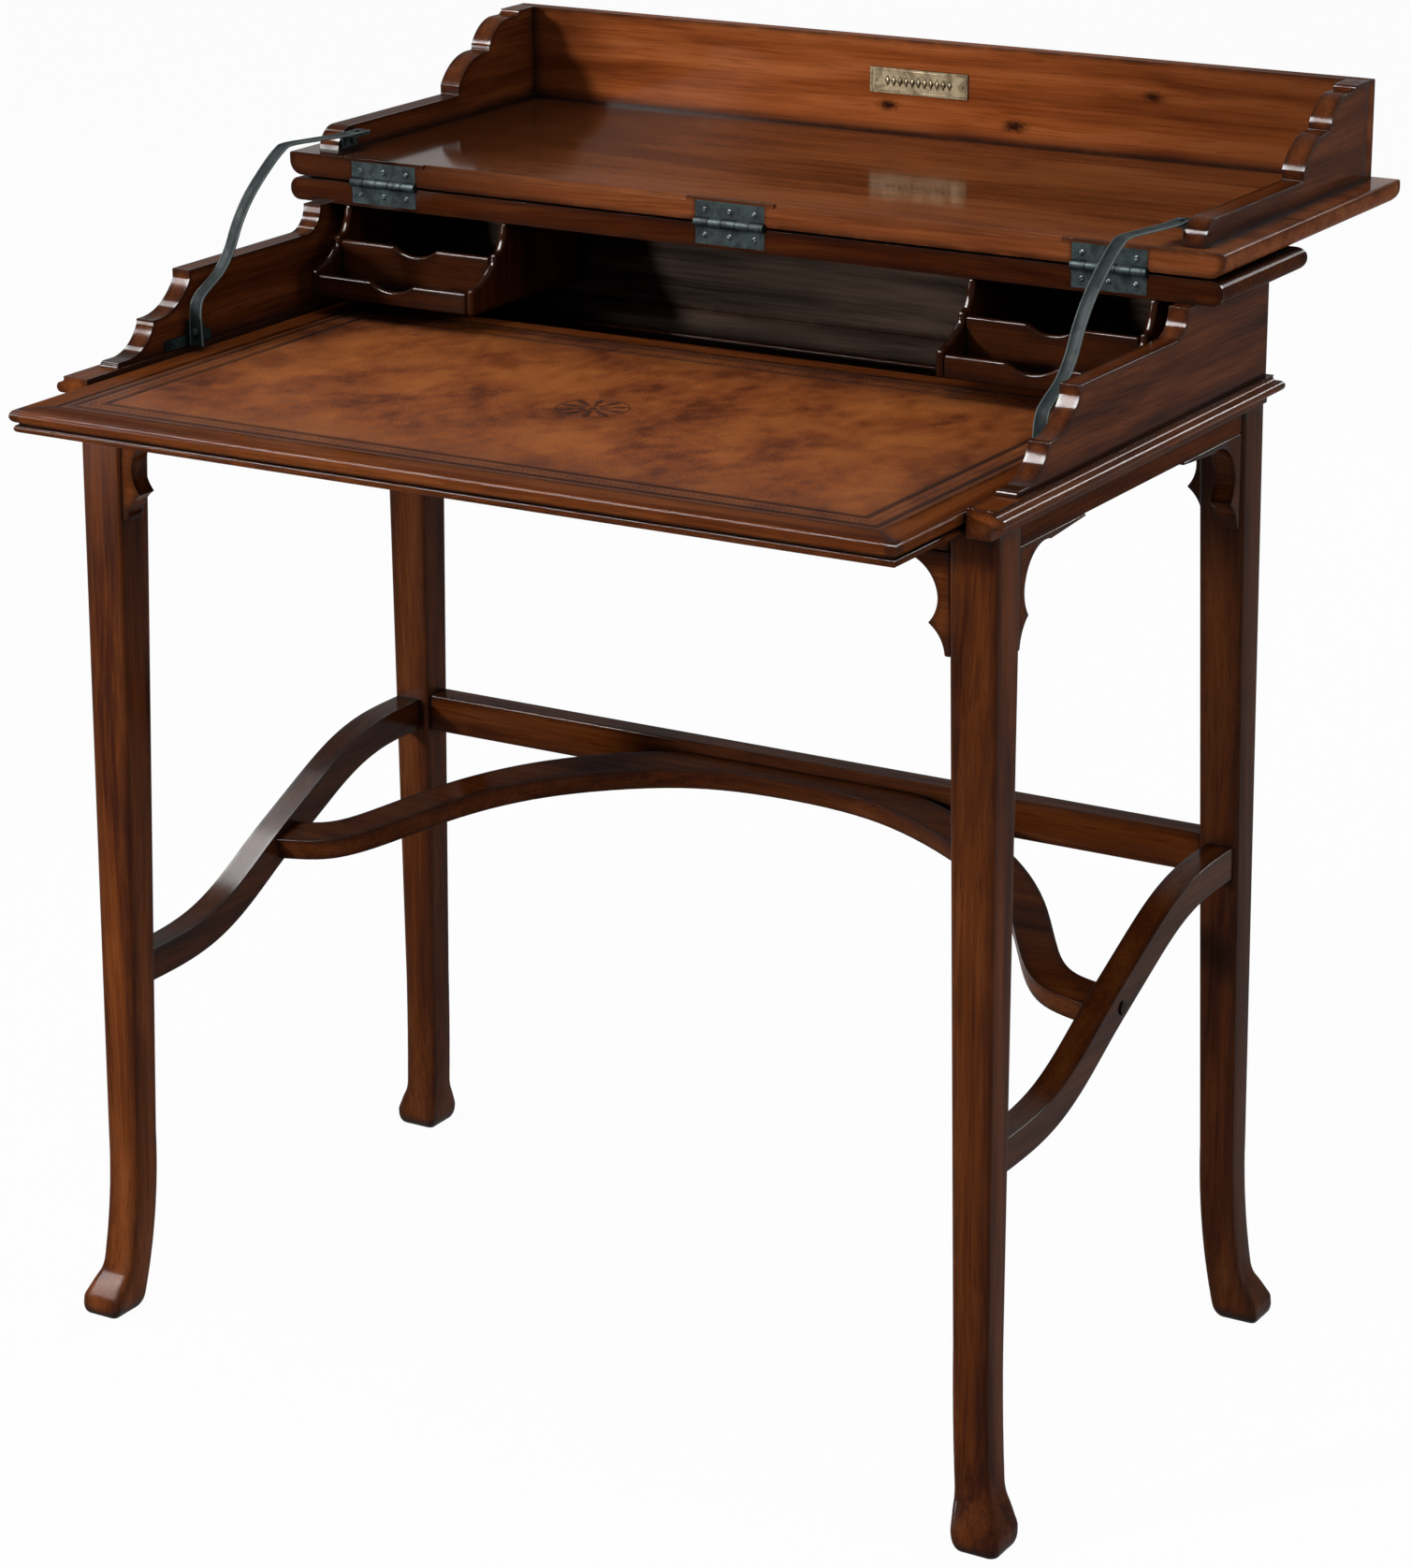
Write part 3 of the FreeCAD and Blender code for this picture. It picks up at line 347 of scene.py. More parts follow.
def writing_leather_finish():
    """Hand-coloured hide: warm and mottled, darker towards the rim and in the tooled lines."""
    made, s, shader = material("writing leather")
    place = s.place()
    clouds = s.noise(place, scale=(19.0, 15.0, 18.0), detail=4.0, roughness=0.5, distortion=0.2)
    spots = s.noise(place, scale=(85.0, 60.0, 70.0), detail=4.0)
    specks = s.even_noise(place, 420.0, detail=2.0)
    tone = s.sum_of((clouds, 0.52), (spots, 0.28), (specks, 0.20))
    tones = ((0.090, 0.019, 0.004), (0.192, 0.046, 0.009), (0.270, 0.073, 0.014), (0.352, 0.106, 0.022))
    colour = s.ramp(tone, stops((0.375, 0.46, 0.535, 0.635), tones))
    rim = s.math("MULTIPLY", s.attribute("rim"), hide_rim_strength)
    colour = s.mix(rim, colour, hide_rim)
    tooled = s.math("MULTIPLY", s.attribute("tooled"), tooling_strength)
    colour = s.mix(tooled, colour, rubbed_brown)
    pebble = s.add("ShaderNodeTexVoronoi", {"Vector": place, "Scale": 900.0}, feature="SMOOTH_F1")
    creases = s.even_noise(place, 160.0, detail=4.0)
    height = s.math("ADD", pebble.outputs["Distance"], s.math("MULTIPLY", creases, 0.6))
    s.join(shader, {"Base Color": colour,
                    "Roughness": s.span(spots, low=0.3, high=0.7, to_low=0.42, to_high=0.56),
                    "IOR": 1.2,
                    "Specular IOR Level": 0.1,
                    "Normal": s.bump(height, strength=0.16, distance=0.3 * MM)})
    return made


def aged_brass(name, deep, light, density, roughness=(0.5, 0.32), metallic=0.2, hammered=0.2):
    """Tarnished brass: deep in its blotches, light where it was handled."""
    made, s, shader = material(name)
    wear = s.group(patina, {"Vector": s.place()})
    colour = s.mix(wear["Blotch"], rgb(*deep), rgb(*light))
    corner = s.group(hollow_shade_and_grime, {"Reach": 4.0 * MM, "Strength": 0.9})["Mask"]
    dull, smooth = roughness
    s.join(shader, {"Base Color": s.mix(corner, colour, tarnish),
                    "Metallic": metallic,
                    "IOR": density,
                    "Roughness": s.span(wear["Blotch"], low=0.0, high=1.0, to_low=dull, to_high=smooth),
                    "Normal": s.bump(wear["Height"], strength=hammered, distance=0.4 * MM)})
    return made


def strap_finish():
    """A stiff waxed strap gone grey-green, rubbed pale along both edges."""
    made, s, shader = material("strap")
    place = s.place()
    worn = s.even_noise(place, 60.0, detail=4.0)
    colour = s.mix(s.span(worn, low=0.35, high=0.65), deep_web, worn_web)
    edge = s.math("MULTIPLY", s.attribute("selvedge"), web_edge_strength)
    weave = s.noise(place, scale=(900.0, 500.0, 500.0), detail=2.0)
    s.join(shader, {"Base Color": s.mix(edge, colour, rubbed_web),
                    "Roughness": s.span(worn, low=0.3, high=0.7, to_low=0.62, to_high=0.5),
                    "IOR": 1.08,
                    "Normal": s.bump(weave, strength=0.25, distance=0.3 * MM)})
    return made


dark_brass = aged_brass("dark brass", deep=(0.005, 0.008, 0.009), light=(0.022, 0.034, 0.035), density=1.12,
                        roughness=(0.62, 0.5), metallic=0.1, hammered=0.5)
screw_brass = aged_brass("screw brass", deep=(0.010, 0.014, 0.014), light=(0.050, 0.062, 0.060), density=1.2,
                         roughness=(0.55, 0.42))
plate_brass = aged_brass("plate brass", deep=(0.080, 0.060, 0.034), light=(0.205, 0.160, 0.099), density=1.1)
strap_web = strap_finish()
tooled_hide = writing_leather_finish()


# Wooden pieces: the log each board came from, and its softened edges

log_steps = (0.7, 0.9, 0.6)    # how far apart in the log two boards lie, for a metre between them
letter_step = 0.31             # and for each letter of a board's name
weld_distance = 0.01 * MM
flat_angle = math.radians(0.4)
sharp_angle = math.radians(28)


def board(name, grain, tones=warm_tones, edge=1.2, flat=True, **finish):
    """Gives a wooden CAD node its own board and worn edges of some millimetres."""
    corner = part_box(name)[0]
    cut = Vector(corner) * Vector(log_steps)
    cut.x += len(name) * letter_step
    dress(nodes[name], mahogany(name.replace("_", " "), grain, tones, cut, **finish))
    soften(nodes[name], edge * MM, flat=flat)


def dress(piece, finish):
    piece.data.materials.clear()
    piece.data.materials.append(finish)


def soften(piece, width, segments=3, flat=True):
    """Joins the loose triangles into whole faces and rounds every sharp edge a little.

    With flat, the wide faces are shaded evenly up to their edges.
    """
    for polygon in piece.data.polygons:
        polygon.use_smooth = True
    piece.modifiers.new("joined", "WELD").merge_threshold = weld_distance
    whole = piece.modifiers.new("whole faces", "DECIMATE")
    whole.decimate_type = "DISSOLVE"
    whole.angle_limit = flat_angle
    round_over = piece.modifiers.new("worn edges", "BEVEL")
    round_over.width = width
    round_over.segments = segments
    round_over.limit_method = "ANGLE"
    round_over.angle_limit = sharp_angle
    round_over.harden_normals = False
    if flat:
        piece.modifiers.new("flat faces", "WEIGHTED_NORMAL").keep_sharp = False


# Stand
# lit and shaded copies of the leg stain: painted light and shade on each leg and its brackets
for corner, share in leg_light_shares.items():
    board("leg_" + corner, "z", painted_light_copy(leg_tones, share), edge=1.0, rubbed=12.0, coat=0.32, polish=0.22,
          flat=False)
    board("brackets_" + corner, "x", painted_light_copy(leg_tones, min(share, 1.0)), edge=1.4, coat=0.2)
# the side stretchers get a shaded copy of the leg stain: painted shade
for side in ("right", "left"):
    board("apron_" + side, "y", leg_tones, edge_shine=0.08)
    board("stretcher_" + side, "y", painted_light_copy(leg_tones, side_stretcher_shade_share), edge=2.0, coat=0.4, polish=0.18)
board("apron_front", "x", leg_tones, edge=2.0)
# a shaded copy of the leg stain: painted shade on the back rails
for name in ("apron_back", "stretcher_back", "stretcher_bow"):
    board(name, "x", painted_light_copy(leg_tones, back_rail_shade_share), edge=2.0, coat=0.2)
board("stretcher_pegs", "x", dark_tones, edge=0.4)

# Base and case
board("floor_board", "x", dark_tones)
board("floor_cleats", "x", dark_tones)
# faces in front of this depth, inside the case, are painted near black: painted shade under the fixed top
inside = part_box("back_panel")[0].y + 0.5 * MM
board("base_strip_back", "x", warm_tones, edge=0.6, lined=inside)
board("back_panel", "x", panel_tones, lined=inside)
board("fixed_top", "x", top_tones)
for side in ("right", "left"):
    board("base_strip_" + side, "y", warm_tones, edge=0.6, coat=0.2)
    # a lit copy of the panel stain on the right and a shaded one on the left: painted light and shade
    board("side_panel_" + side, "y", painted_light_copy(panel_tones, panel_light_shares[side]), edge=2.2, coat=0.22)
    board("rack_" + side + "_ends", "z", rack_tones, edge=2.6)
    board("rack_" + side + "_front_lip", "x", rack_tones, edge=2.6)
    board("rack_" + side + "_rear_lip", "x", rack_tones, edge=2.6)
    board("rack_" + side + "_floor", "x", rack_tones, edge=1.9)

# Lid: stretches of painted shadow and shade from and to a place along X, and how dark; knots with their
# places and sizes
# painted shadow and dark reflection of the left lid side on the lid's left end
lid_shade = ((-0.06, -0.34, 0.85),)
# painted shadow of the left lid side on the gallery's left end, and painted shade where the light falls off
# at its right end
gallery_shade = ((-0.27, -0.34, 0.55), (0.02, 0.36, 0.5))
gallery_knots = (((0.206, 0.342, 0.927), 6.0 * MM),
                 ((0.086, 0.342, 0.8935), 7.0 * MM),
                 ((-0.028, 0.342, 0.901), 6.0 * MM))
lid_polish = (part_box("lid_board")[1].z, 0.48)
board("lid_board", "x", lid_tones, edge=1.0, coat=0.12, polish=0.09, edge_shine=0.0, shaded=lid_shade,
      polished=lid_polish)
board("gallery_board", "x", gallery_tones, edge=1.4, rings=0.12, shaded=gallery_shade, knots=gallery_knots)
for side in ("right", "left"):
    board("lid_side_" + side, "y", panel_tones, edge=2.2, coat=0.2)

# Slide
for side, grain in (("right", "y"), ("left", "y"), ("front", "x")):
    board("slide_rail_" + side, grain, warm_tones, edge=0.4, coat=0.06, edge_shine=0.1)
board("slide_rail_back", "x", warm_tones, edge=0.4, edge_shine=0.3)
board("slide_panel", "x", dark_tones)
board("slide_runners", "y", dark_tones)

# Metal pieces
for name in ("hinge_leaves_case", "hinge_leaves_lid", "hinge_pins", "hinge_screws_case", "hinge_screws_lid",
             "strap_feet", "strap_foot_fasteners", "strap_clips", "strap_clip_fasteners"):
    dress(nodes[name], dark_brass)
    soften(nodes[name], 0.25 * MM, segments=2)
for name in ("plate", "plate_pins"):
    dress(nodes[name], plate_brass)
    soften(nodes[name], 0.3 * MM, segments=2)


# Writing leather

def finished(name, vertices, faces, finish, attributes=None):
    """A new mesh object at the origin, with point attributes."""
    mesh = bpy.data.meshes.new(name)
    mesh.from_pydata(vertices, [], faces)
    mesh.validate()
    mesh.materials.append(finish)
    for label, values in (attributes or {}).items():
        mesh.attributes.new(label, "FLOAT", "POINT").data.foreach_set("value", values)
    for polygon in mesh.polygons:
        polygon.use_smooth = True
    piece = bpy.data.objects.new(name, mesh)
    bpy.context.scene.collection.objects.link(piece)
    return piece


leather_low, leather_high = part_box("writing_leather")
line_depth = 0.25 * MM
line_width = 1.9 * MM
line_insets = (6.0 * MM, 9.0 * MM, 23.0 * MM, 26.0 * MM)
lip_width = 1.2 * MM
lip_darkness = 0.2
rim_insets = (40.0 * MM, 75.0 * MM)
rim_fade = 1.6


def tooled_line(inset):
    """Steps of the leather's surface over one pressed line: inset, drop and darkness."""
    return [(inset - line_width, 0.0, 0.0), (inset - line_width / 3, line_depth, 1.0),
            (inset + line_width / 3, line_depth, 1.0), (inset + line_width, 0.0, 0.0)]


def leather_field():
    """The hide as nested rectangles from the rim inwards, with the pressed lines of the border."""
    steps = [(0.0, leather_high.z - leather_low.z, 1.0), (0.0, 2 * line_depth, 1.0),
             (lip_width, 0.0, lip_darkness)]
    for inset in line_insets:
        steps += tooled_line(inset)
    steps += [(inset, 0.0, 0.0) for inset in rim_insets]
    vertices, faces, rim, tooled = [], [], [], []
    for ring, (inset, drop, dark) in enumerate(steps):
        x0, x1 = leather_low.x + inset, leather_high.x - inset
        y0, y1 = leather_low.y + inset, leather_high.y - inset
        z = leather_high.z - drop
        vertices += [(x0, y0, z), (x1, y0, z), (x1, y1, z), (x0, y1, z)]
        rim += [max(1.0 - inset / rim_insets[-1], 0.0) ** rim_fade] * 4
        tooled += [dark] * 4
        if ring:
            base = 4 * (ring - 1)
            for side in range(4):
                after = (side + 1) % 4
                faces.append((base + side, base + after, base + 4 + after, base + 4 + side))
    last = len(vertices) - 4
    faces.append((last, last + 1, last + 2, last + 3))
    faces.append((3, 2, 1, 0))
    return finished("tooled_leather", vertices, faces, tooled_hide, {"rim": rim, "tooled": tooled})


leather = leather_field()
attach(leather, "slide")
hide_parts("writing_leather")


# Straps

# The route from the clip to the foot, as shares of the way forwards and of the way down
strap_run_shares = (0.0, 0.123, 0.29, 0.444, 0.497, 0.581, 0.678, 0.748, 0.801, 0.862, 0.933, 0.979,
                    0.996, 1.0, 1.0, 1.0, 1.0)
strap_drop_shares = (0.0, -0.004, -0.023, -0.039, -0.019, 0.07, 0.202, 0.341, 0.492, 0.601, 0.667, 0.717,
                     0.772, 0.83, 0.885, 0.94, 1.0)
strap_thickness = 1.6 * MM
strap_gap = 0.3 * MM              # strap to its clip
strap_steps = 6                   # rings from one point of the route to the next
strap_curl = 0.2                  # how much narrower the free middle is than the held ends
strap_back_rub = 0.6              # how rubbed the hidden face is

# Points round the strap: share of the half width, share of the thickness, and how rubbed it is there
strap_section = ((-1.0, -0.35, 1.0), (-0.93, -0.5, 1.0), (0.93, -0.5, 1.0), (1.0, -0.35, 1.0),
                 (1.0, 0.35, 1.0), (0.93, 0.5, 1.0), (0.86, 0.5, 0.8), (0.78, 0.3, 0.0), (0.0, 0.36, 0.0),
                 (-0.78, 0.3, 0.0), (-0.86, 0.5, 0.8), (-0.93, 0.5, 1.0), (-1.0, 0.35, 1.0))


def smooth_path(points, steps):
    """Points on a smooth line through the given ones."""
    path = []
    last = len(points) - 1
    for i in range(last):
        before, a, b, after = points[max(i - 1, 0)], points[i], points[i + 1], points[min(i + 2, last)]
        for step in range(steps):
            t = step / steps
            path.append(0.5 * (2 * a + (b - before) * t + (2 * before - 5 * a + 4 * b - after) * t * t
                               + (3 * a - before - 3 * b + after) * t ** 3))
    return path + [points[-1]]


def strap(name):
    """A flat strap from the lid's clip, over the edge and down to its foot on the side panel."""
    low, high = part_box(name)
    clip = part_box("strap_clips")[1]
    back, top = clip.y, clip.z + strap_gap + strap_thickness / 2
    front, bottom = low.y + strap_thickness / 2, low.z
    route = [Vector((0.0, back - (back - front) * run, top - (top - bottom) * drop))
             for run, drop in zip(strap_run_shares, strap_drop_shares)]
    path = smooth_path(route, strap_steps)
    last = len(path) - 1
    middle, half = (low.x + high.x) / 2, (high.x - low.x) / 2
    vertices, faces, selvedge = [], [], []
    count = len(strap_section)
    for i, point in enumerate(path):
        along = (path[min(i + 1, last)] - path[max(i - 1, 0)]).normalized()
        out = Vector((0.0, along.z, -along.y))
        drawn_in = 1.0 - strap_curl * math.sin(math.pi * i / last)
        for across, thick, edge in strap_section:
            place = point + out * thick * strap_thickness
            vertices.append((middle + across * half * drawn_in, place.y, place.z))
            selvedge.append(edge if thick > 0 else strap_back_rub)
        if i:
            base = count * (i - 1)
            for k in range(count):
                after = (k + 1) % count
                faces.append((base + k, base + count + k, base + count + after, base + after))
    faces.append(tuple(range(count)))
    faces.append(tuple(reversed(range(len(vertices) - count, len(vertices)))))
    piece = finished(name + "_web", vertices, faces, strap_web, {"selvedge": selvedge})
    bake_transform(piece)
    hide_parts(name)


for side in ("right", "left"):
    strap("strap_" + side)


# Small repeated work: screw heads, tooling, the plate's ornament and the straps' binding

def growth(name, inputs):
    """An empty geometry tree with named inputs: the tree, its nodes, its inputs and its end."""
    tree = bpy.data.node_groups.new(name, "GeometryNodeTree")
    for label, kind in inputs + [("Finish", "Material")]:
        tree.interface.new_socket(label, in_out="INPUT", socket_type="NodeSocket" + kind)
    tree.interface.new_socket("Geometry", in_out="OUTPUT", socket_type="NodeSocketGeometry")
    start = tree.nodes.new("NodeGroupInput").outputs
    end = tree.nodes.new("NodeGroupOutput")
    return tree, Shade(tree), start, end


def close_growth(b, start, end, shape):
    """Ends a tree: instances become real faces and take the finish."""
    smooth = b.add("GeometryNodeSetShadeSmooth", {"Geometry": real(b, shape), "Shade Smooth": True})
    done = b.add("GeometryNodeSetMaterial", {"Geometry": smooth.outputs[0], "Material": start["Finish"]})
    b.join(end, {"Geometry": done.outputs[0]})


def grown(name, tree, body, values):
    """Grows one piece from a tree, leaves it as a plain mesh at the origin, and sets it on its body."""
    piece = bpy.data.objects.new(name, bpy.data.meshes.new(name))
    bpy.context.scene.collection.objects.link(piece)
    grower = piece.modifiers.new("grower", "NODES")
    grower.node_group = tree
    for socket in tree.interface.items_tree:
        if socket.in_out == "INPUT":
            grower[socket.identifier] = values[socket.name]
    shape = piece.evaluated_get(bpy.context.evaluated_depsgraph_get())
    piece.data = bpy.data.meshes.new_from_object(shape)
    piece.modifiers.remove(grower)
    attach(piece, body)


def real(b, shape):
    return b.add("GeometryNodeRealizeInstances", {"Geometry": shape}).outputs[0]


def vector_of(b, x=0.0, y=0.0, z=0.0):
    return b.add("ShaderNodeCombineXYZ", {"X": x, "Y": y, "Z": z}).outputs[0]


def moved(b, shape, **inputs):
    """Moves, turns or scales a shape by the inputs Translation, Rotation and Scale."""
    return b.add("GeometryNodeTransform", {"Geometry": shape, **inputs}).outputs[0]


def row_along(b, count, step, axis):
    """Evenly spaced points, with their middle at the origin."""
    back = b.math("MULTIPLY", step, b.math("MULTIPLY", b.math("SUBTRACT", count, 1.0), -0.5))
    line = {"Count": count, "Start Location": vector_of(b, **{axis: back}),
            "Offset": vector_of(b, **{axis: step})}
    return b.add("GeometryNodeMeshLine", line, mode="OFFSET").outputs[0]


def on_points(b, points, shape, **inputs):
    sockets = {"Points": points, "Instance": shape, **inputs}
    return b.add("GeometryNodeInstanceOnPoints", sockets).outputs[0]


def bead(b, size, segments, rings):
    """A small bead drawn to the three half sizes of a vector."""
    ball = b.add("GeometryNodeMeshUVSphere", {"Segments": segments, "Rings": rings, "Radius": 1.0})
    return moved(b, ball.outputs[0], Scale=size)


def circle_of(b, radius, sides):
    return b.add("GeometryNodeCurvePrimitiveCircle", {"Resolution": sides, "Radius": radius}).outputs[0]


def frame_of(b, width, height):
    sockets = {"Width": width, "Height": height}
    return b.add("GeometryNodeCurvePrimitiveQuadrilateral", sockets).outputs[0]


def wire_along(b, line, section):
    return b.add("GeometryNodeCurveToMesh", {"Curve": line, "Profile Curve": section}).outputs[0]


def together(b, shapes):
    joined = b.add("GeometryNodeJoinGeometry")
    for shape in shapes:
        b.tree.links.new(shape, joined.inputs[0])
    return joined.outputs[0]


def marked(b, shape, label, value):
    """Writes one value on every point, for the finish to read."""
    sockets = {"Geometry": real(b, shape), "Name": label, "Value": value}
    return b.add("GeometryNodeStoreNamedAttribute", sockets, data_type="FLOAT", domain="POINT").outputs[0]


def screw_head_tree():
    """Slotted heads in a row on each hinge leaf, every slot left at its own angle."""
    tree, b, start, end = growth("slotted screw heads", [
        ("Head Radius", "Float"), ("Head Height", "Float"), ("Slot Width", "Float"), ("Slot Depth", "Float"),
        ("Screws", "Int"), ("Screw Step", "Float"), ("Hinges", "Int"), ("Hinge Step", "Float"),
        ("Most Turn", "Float"), ("Middle", "Vector"), ("Seed", "Int")])
    head = b.add("GeometryNodeMeshCylinder", {"Vertices": 24, "Radius": start["Head Radius"],
                                              "Depth": start["Head Height"]}).outputs[0]
    slot_length = b.math("MULTIPLY", start["Head Radius"], 3.0)
    slot_size = vector_of(b, slot_length, start["Slot Width"], start["Slot Depth"])
    slot = b.add("GeometryNodeMeshCube", {"Size": slot_size}).outputs[0]
    slot = moved(b, slot, Translation=vector_of(b, z=b.math("MULTIPLY", start["Head Height"], 0.5)))
    cut = b.add("GeometryNodeMeshBoolean", {"Mesh 1": head, "Mesh 2": slot},
                operation="DIFFERENCE").outputs[0]
    hinges = row_along(b, start["Hinges"], start["Hinge Step"], "x")
    screws = on_points(b, hinges, row_along(b, start["Screws"], start["Screw Step"], "x"))
    least_turn = b.math("MULTIPLY", start["Most Turn"], -1.0)
    turn = b.add("FunctionNodeRandomValue", {2: least_turn, 3: start["Most Turn"], "Seed": start["Seed"]},
                 data_type="FLOAT").outputs[1]
    heads = on_points(b, real(b, screws), cut, Rotation=vector_of(b, math.pi / 2, turn))
    close_growth(b, start, end, moved(b, heads, Translation=start["Middle"]))
    return tree


def border_tree():
    """Small pressed lozenges that follow the border of the hide."""
    tree, b, start, end = growth("tooled border", [
        ("Width", "Float"), ("Depth", "Float"), ("Step", "Float"), ("Stamp", "Vector"), ("Darkness", "Float"),
        ("Middle", "Vector")])
    line = frame_of(b, start["Width"], start["Depth"])
    points = b.add("GeometryNodeCurveToPoints", {"Curve": line, "Length": start["Step"]},
                   mode="LENGTH").outputs
    stamp = bead(b, start["Stamp"], segments=6, rings=4)
    stamps = on_points(b, points["Points"], stamp, Rotation=points["Rotation"])
    stamps = marked(b, stamps, "tooled", start["Darkness"])
    close_growth(b, start, end, moved(b, stamps, Translation=start["Middle"]))
    return tree


def rosette_tree():
    """A plain tooled rosette: two rings of petals round a boss, in a thin circle."""
    tree, b, start, end = growth("tooled rosette", [
        ("Petals", "Int"), ("Reach", "Float"), ("Petal", "Vector"), ("Boss", "Vector"), ("Thread", "Float"),
        ("Darkness", "Float"), ("Middle", "Vector")])
    shapes = [bead(b, start["Boss"], segments=16, rings=6)]
    number = b.add("GeometryNodeInputIndex").outputs[0]
    turn = b.math("DIVIDE", b.math("MULTIPLY", number, 2 * math.pi), start["Petals"])
    for reach_share, size_share in ((0.34, 0.62), (0.72, 1.0)):
        reach = b.math("MULTIPLY", start["Reach"], reach_share)
        ring = b.add("GeometryNodeMeshCircle", {"Vertices": start["Petals"], "Radius": reach}).outputs[0]
        petal = bead(b, start["Petal"], segments=12, rings=6)
        petal = moved(b, petal, Scale=vector_of(b, size_share, size_share, 1.0))
        shapes.append(on_points(b, ring, petal, Rotation=vector_of(b, z=turn)))
    thread = wire_along(b, circle_of(b, start["Reach"], sides=64), circle_of(b, start["Thread"], sides=6))
    pressed_flat = (1.0, 1.0, 0.35)
    shapes.append(moved(b, thread, Scale=pressed_flat))
    whole = marked(b, together(b, shapes), "tooled", start["Darkness"])
    close_growth(b, start, end, moved(b, whole, Translation=start["Middle"]))
    return tree


def plate_ornament_tree():
    """A raised rim round the plate and a row of small lozenges inside it."""
    tree, b, start, end = growth("plate ornament", [
        ("Width", "Float"), ("Height", "Float"), ("Rim", "Float"), ("Lozenges", "Int"), ("Step", "Float"),
        ("Lozenge", "Vector"), ("Middle", "Vector")])
    rim = wire_along(b, frame_of(b, start["Width"], start["Height"]), circle_of(b, start["Rim"], sides=8))
    point = b.add("GeometryNodeMeshCone", {"Vertices": 4, "Radius Top": 0.0, "Radius Bottom": 1.0,
                                           "Depth": 1.0})
    lozenge = moved(b, point.outputs[0], Scale=start["Lozenge"])
    row = on_points(b, row_along(b, start["Lozenges"], start["Step"], "x"), lozenge)
    upright = moved(b, together(b, (rim, row)), Rotation=(math.pi / 2, 0.0, 0.0))
    close_growth(b, start, end, moved(b, upright, Translation=start["Middle"]))
    return tree


def binding_tree():
    """Turns of waxed thread across the held end of each strap."""
    tree, b, start, end = growth("strap binding", [
        ("Turns", "Int"), ("Turn Step", "Float"), ("Groups", "Int"), ("Group Step", "Float"),
        ("Thread", "Vector"), ("Straps", "Int"), ("Strap Step", "Float"), ("Middle", "Vector")])
    turn = bead(b, start["Thread"], segments=12, rings=8)
    group = on_points(b, row_along(b, start["Turns"], start["Turn Step"], "y"), turn)
    held_end = on_points(b, row_along(b, start["Groups"], start["Group Step"], "y"), group)
    straps = on_points(b, row_along(b, start["Straps"], start["Strap Step"], "x"), held_end)
    close_growth(b, start, end, moved(b, straps, Translation=start["Middle"]))
    return tree


hinge_length = 60.0 * MM
screw_step = hinge_length * 0.36
head_radius = 2.3 * MM
head_height = 1.0 * MM
head_proud = 0.25 * MM
screw_heads = screw_head_tree()
for body, seed in (("case", 3), ("lid", 8)):
    low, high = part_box("hinge_screws_" + body)
    grown("hinge_screw_heads_" + body, screw_heads, body, {
        "Head Radius": head_radius, "Head Height": head_height,
        "Slot Width": 0.7 * MM, "Slot Depth": 0.8 * MM,
        "Screws": 3, "Screw Step": screw_step,
        "Hinges": 3, "Hinge Step": high.x - screw_step - head_radius,
        "Most Turn": 0.9, "Seed": seed,
        "Middle": Vector((0.0, low.y - head_proud + head_height / 2, (low.z + high.z) / 2)),
        "Finish": screw_brass})

hide_middle = (leather_low + leather_high) / 2
hide_middle.z = leather_high.z
border_inset = 16.0 * MM
grown("border_tooling", border_tree(), "slide", {
    "Width": leather_high.x - leather_low.x - 2 * border_inset,
    "Depth": leather_high.y - leather_low.y - 2 * border_inset,
    "Step": 4.4 * MM, "Stamp": Vector((1.5, 0.22, 1.5)) * MM, "Darkness": 0.75,
    "Middle": hide_middle, "Finish": tooled_hide})
grown("centre_rosette", rosette_tree(), "slide", {
    "Petals": 10, "Reach": 27.0 * MM, "Petal": Vector((7.0, 3.0, 0.3)) * MM,
    "Boss": Vector((3.4, 3.4, 0.3)) * MM, "Thread": 0.6 * MM, "Darkness": 0.85,
    "Middle": hide_middle, "Finish": tooled_hide})

plate_low, plate_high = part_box("plate")
rim_inset = 1.6 * MM
grown("plate_ornament", plate_ornament_tree(), "lid", {
    "Width": plate_high.x - plate_low.x - 2 * rim_inset,
    "Height": plate_high.z - plate_low.z - 2 * rim_inset,
    "Rim": 0.5 * MM, "Lozenges": 11, "Step": 5.6 * MM, "Lozenge": Vector((2.6, 4.6, 0.5)) * MM,
    "Middle": Vector((0.0, plate_low.y, (plate_low.z + plate_high.z) / 2)), "Finish": plate_brass})

clip_low, clip_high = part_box("strap_clips")
strap_low, strap_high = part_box("strap_right")
thread_out = 0.4 * MM
grown("strap_binding", binding_tree(), "lid", {
    "Turns": 4, "Turn Step": 1.5 * MM, "Groups": 2, "Group Step": 12.8 * MM,
    "Thread": Vector(((strap_high.x - strap_low.x) / 2 + thread_out, 0.75 * MM, 1.3 * MM)),
    "Straps": 2, "Strap Step": strap_low.x + strap_high.x,
    "Middle": Vector((0.0, (clip_low.y + clip_high.y) / 2, clip_high.z + strap_gap + strap_thickness / 2)),
    "Finish": strap_web})


# Stage, light and camera

floor_half = 30.0
floor_glow = 0.965
sky_light = 0.2
lamps_aim = Vector((0.0, 0.0, 0.6))
white = rgb(1.0, 1.0, 1.0)
floor_grey = rgb(0.7, 0.7, 0.7)


def direct_sight(s):
    """1 where a surface is seen straight, mirrored or through glass, and 0 where it only lights."""
    path = s.add("ShaderNodeLightPath").outputs
    seen = s.math("MAXIMUM", path["Is Camera Ray"], path["Is Glossy Ray"])
    return s.math("MAXIMUM", seen, path["Is Transmission Ray"])


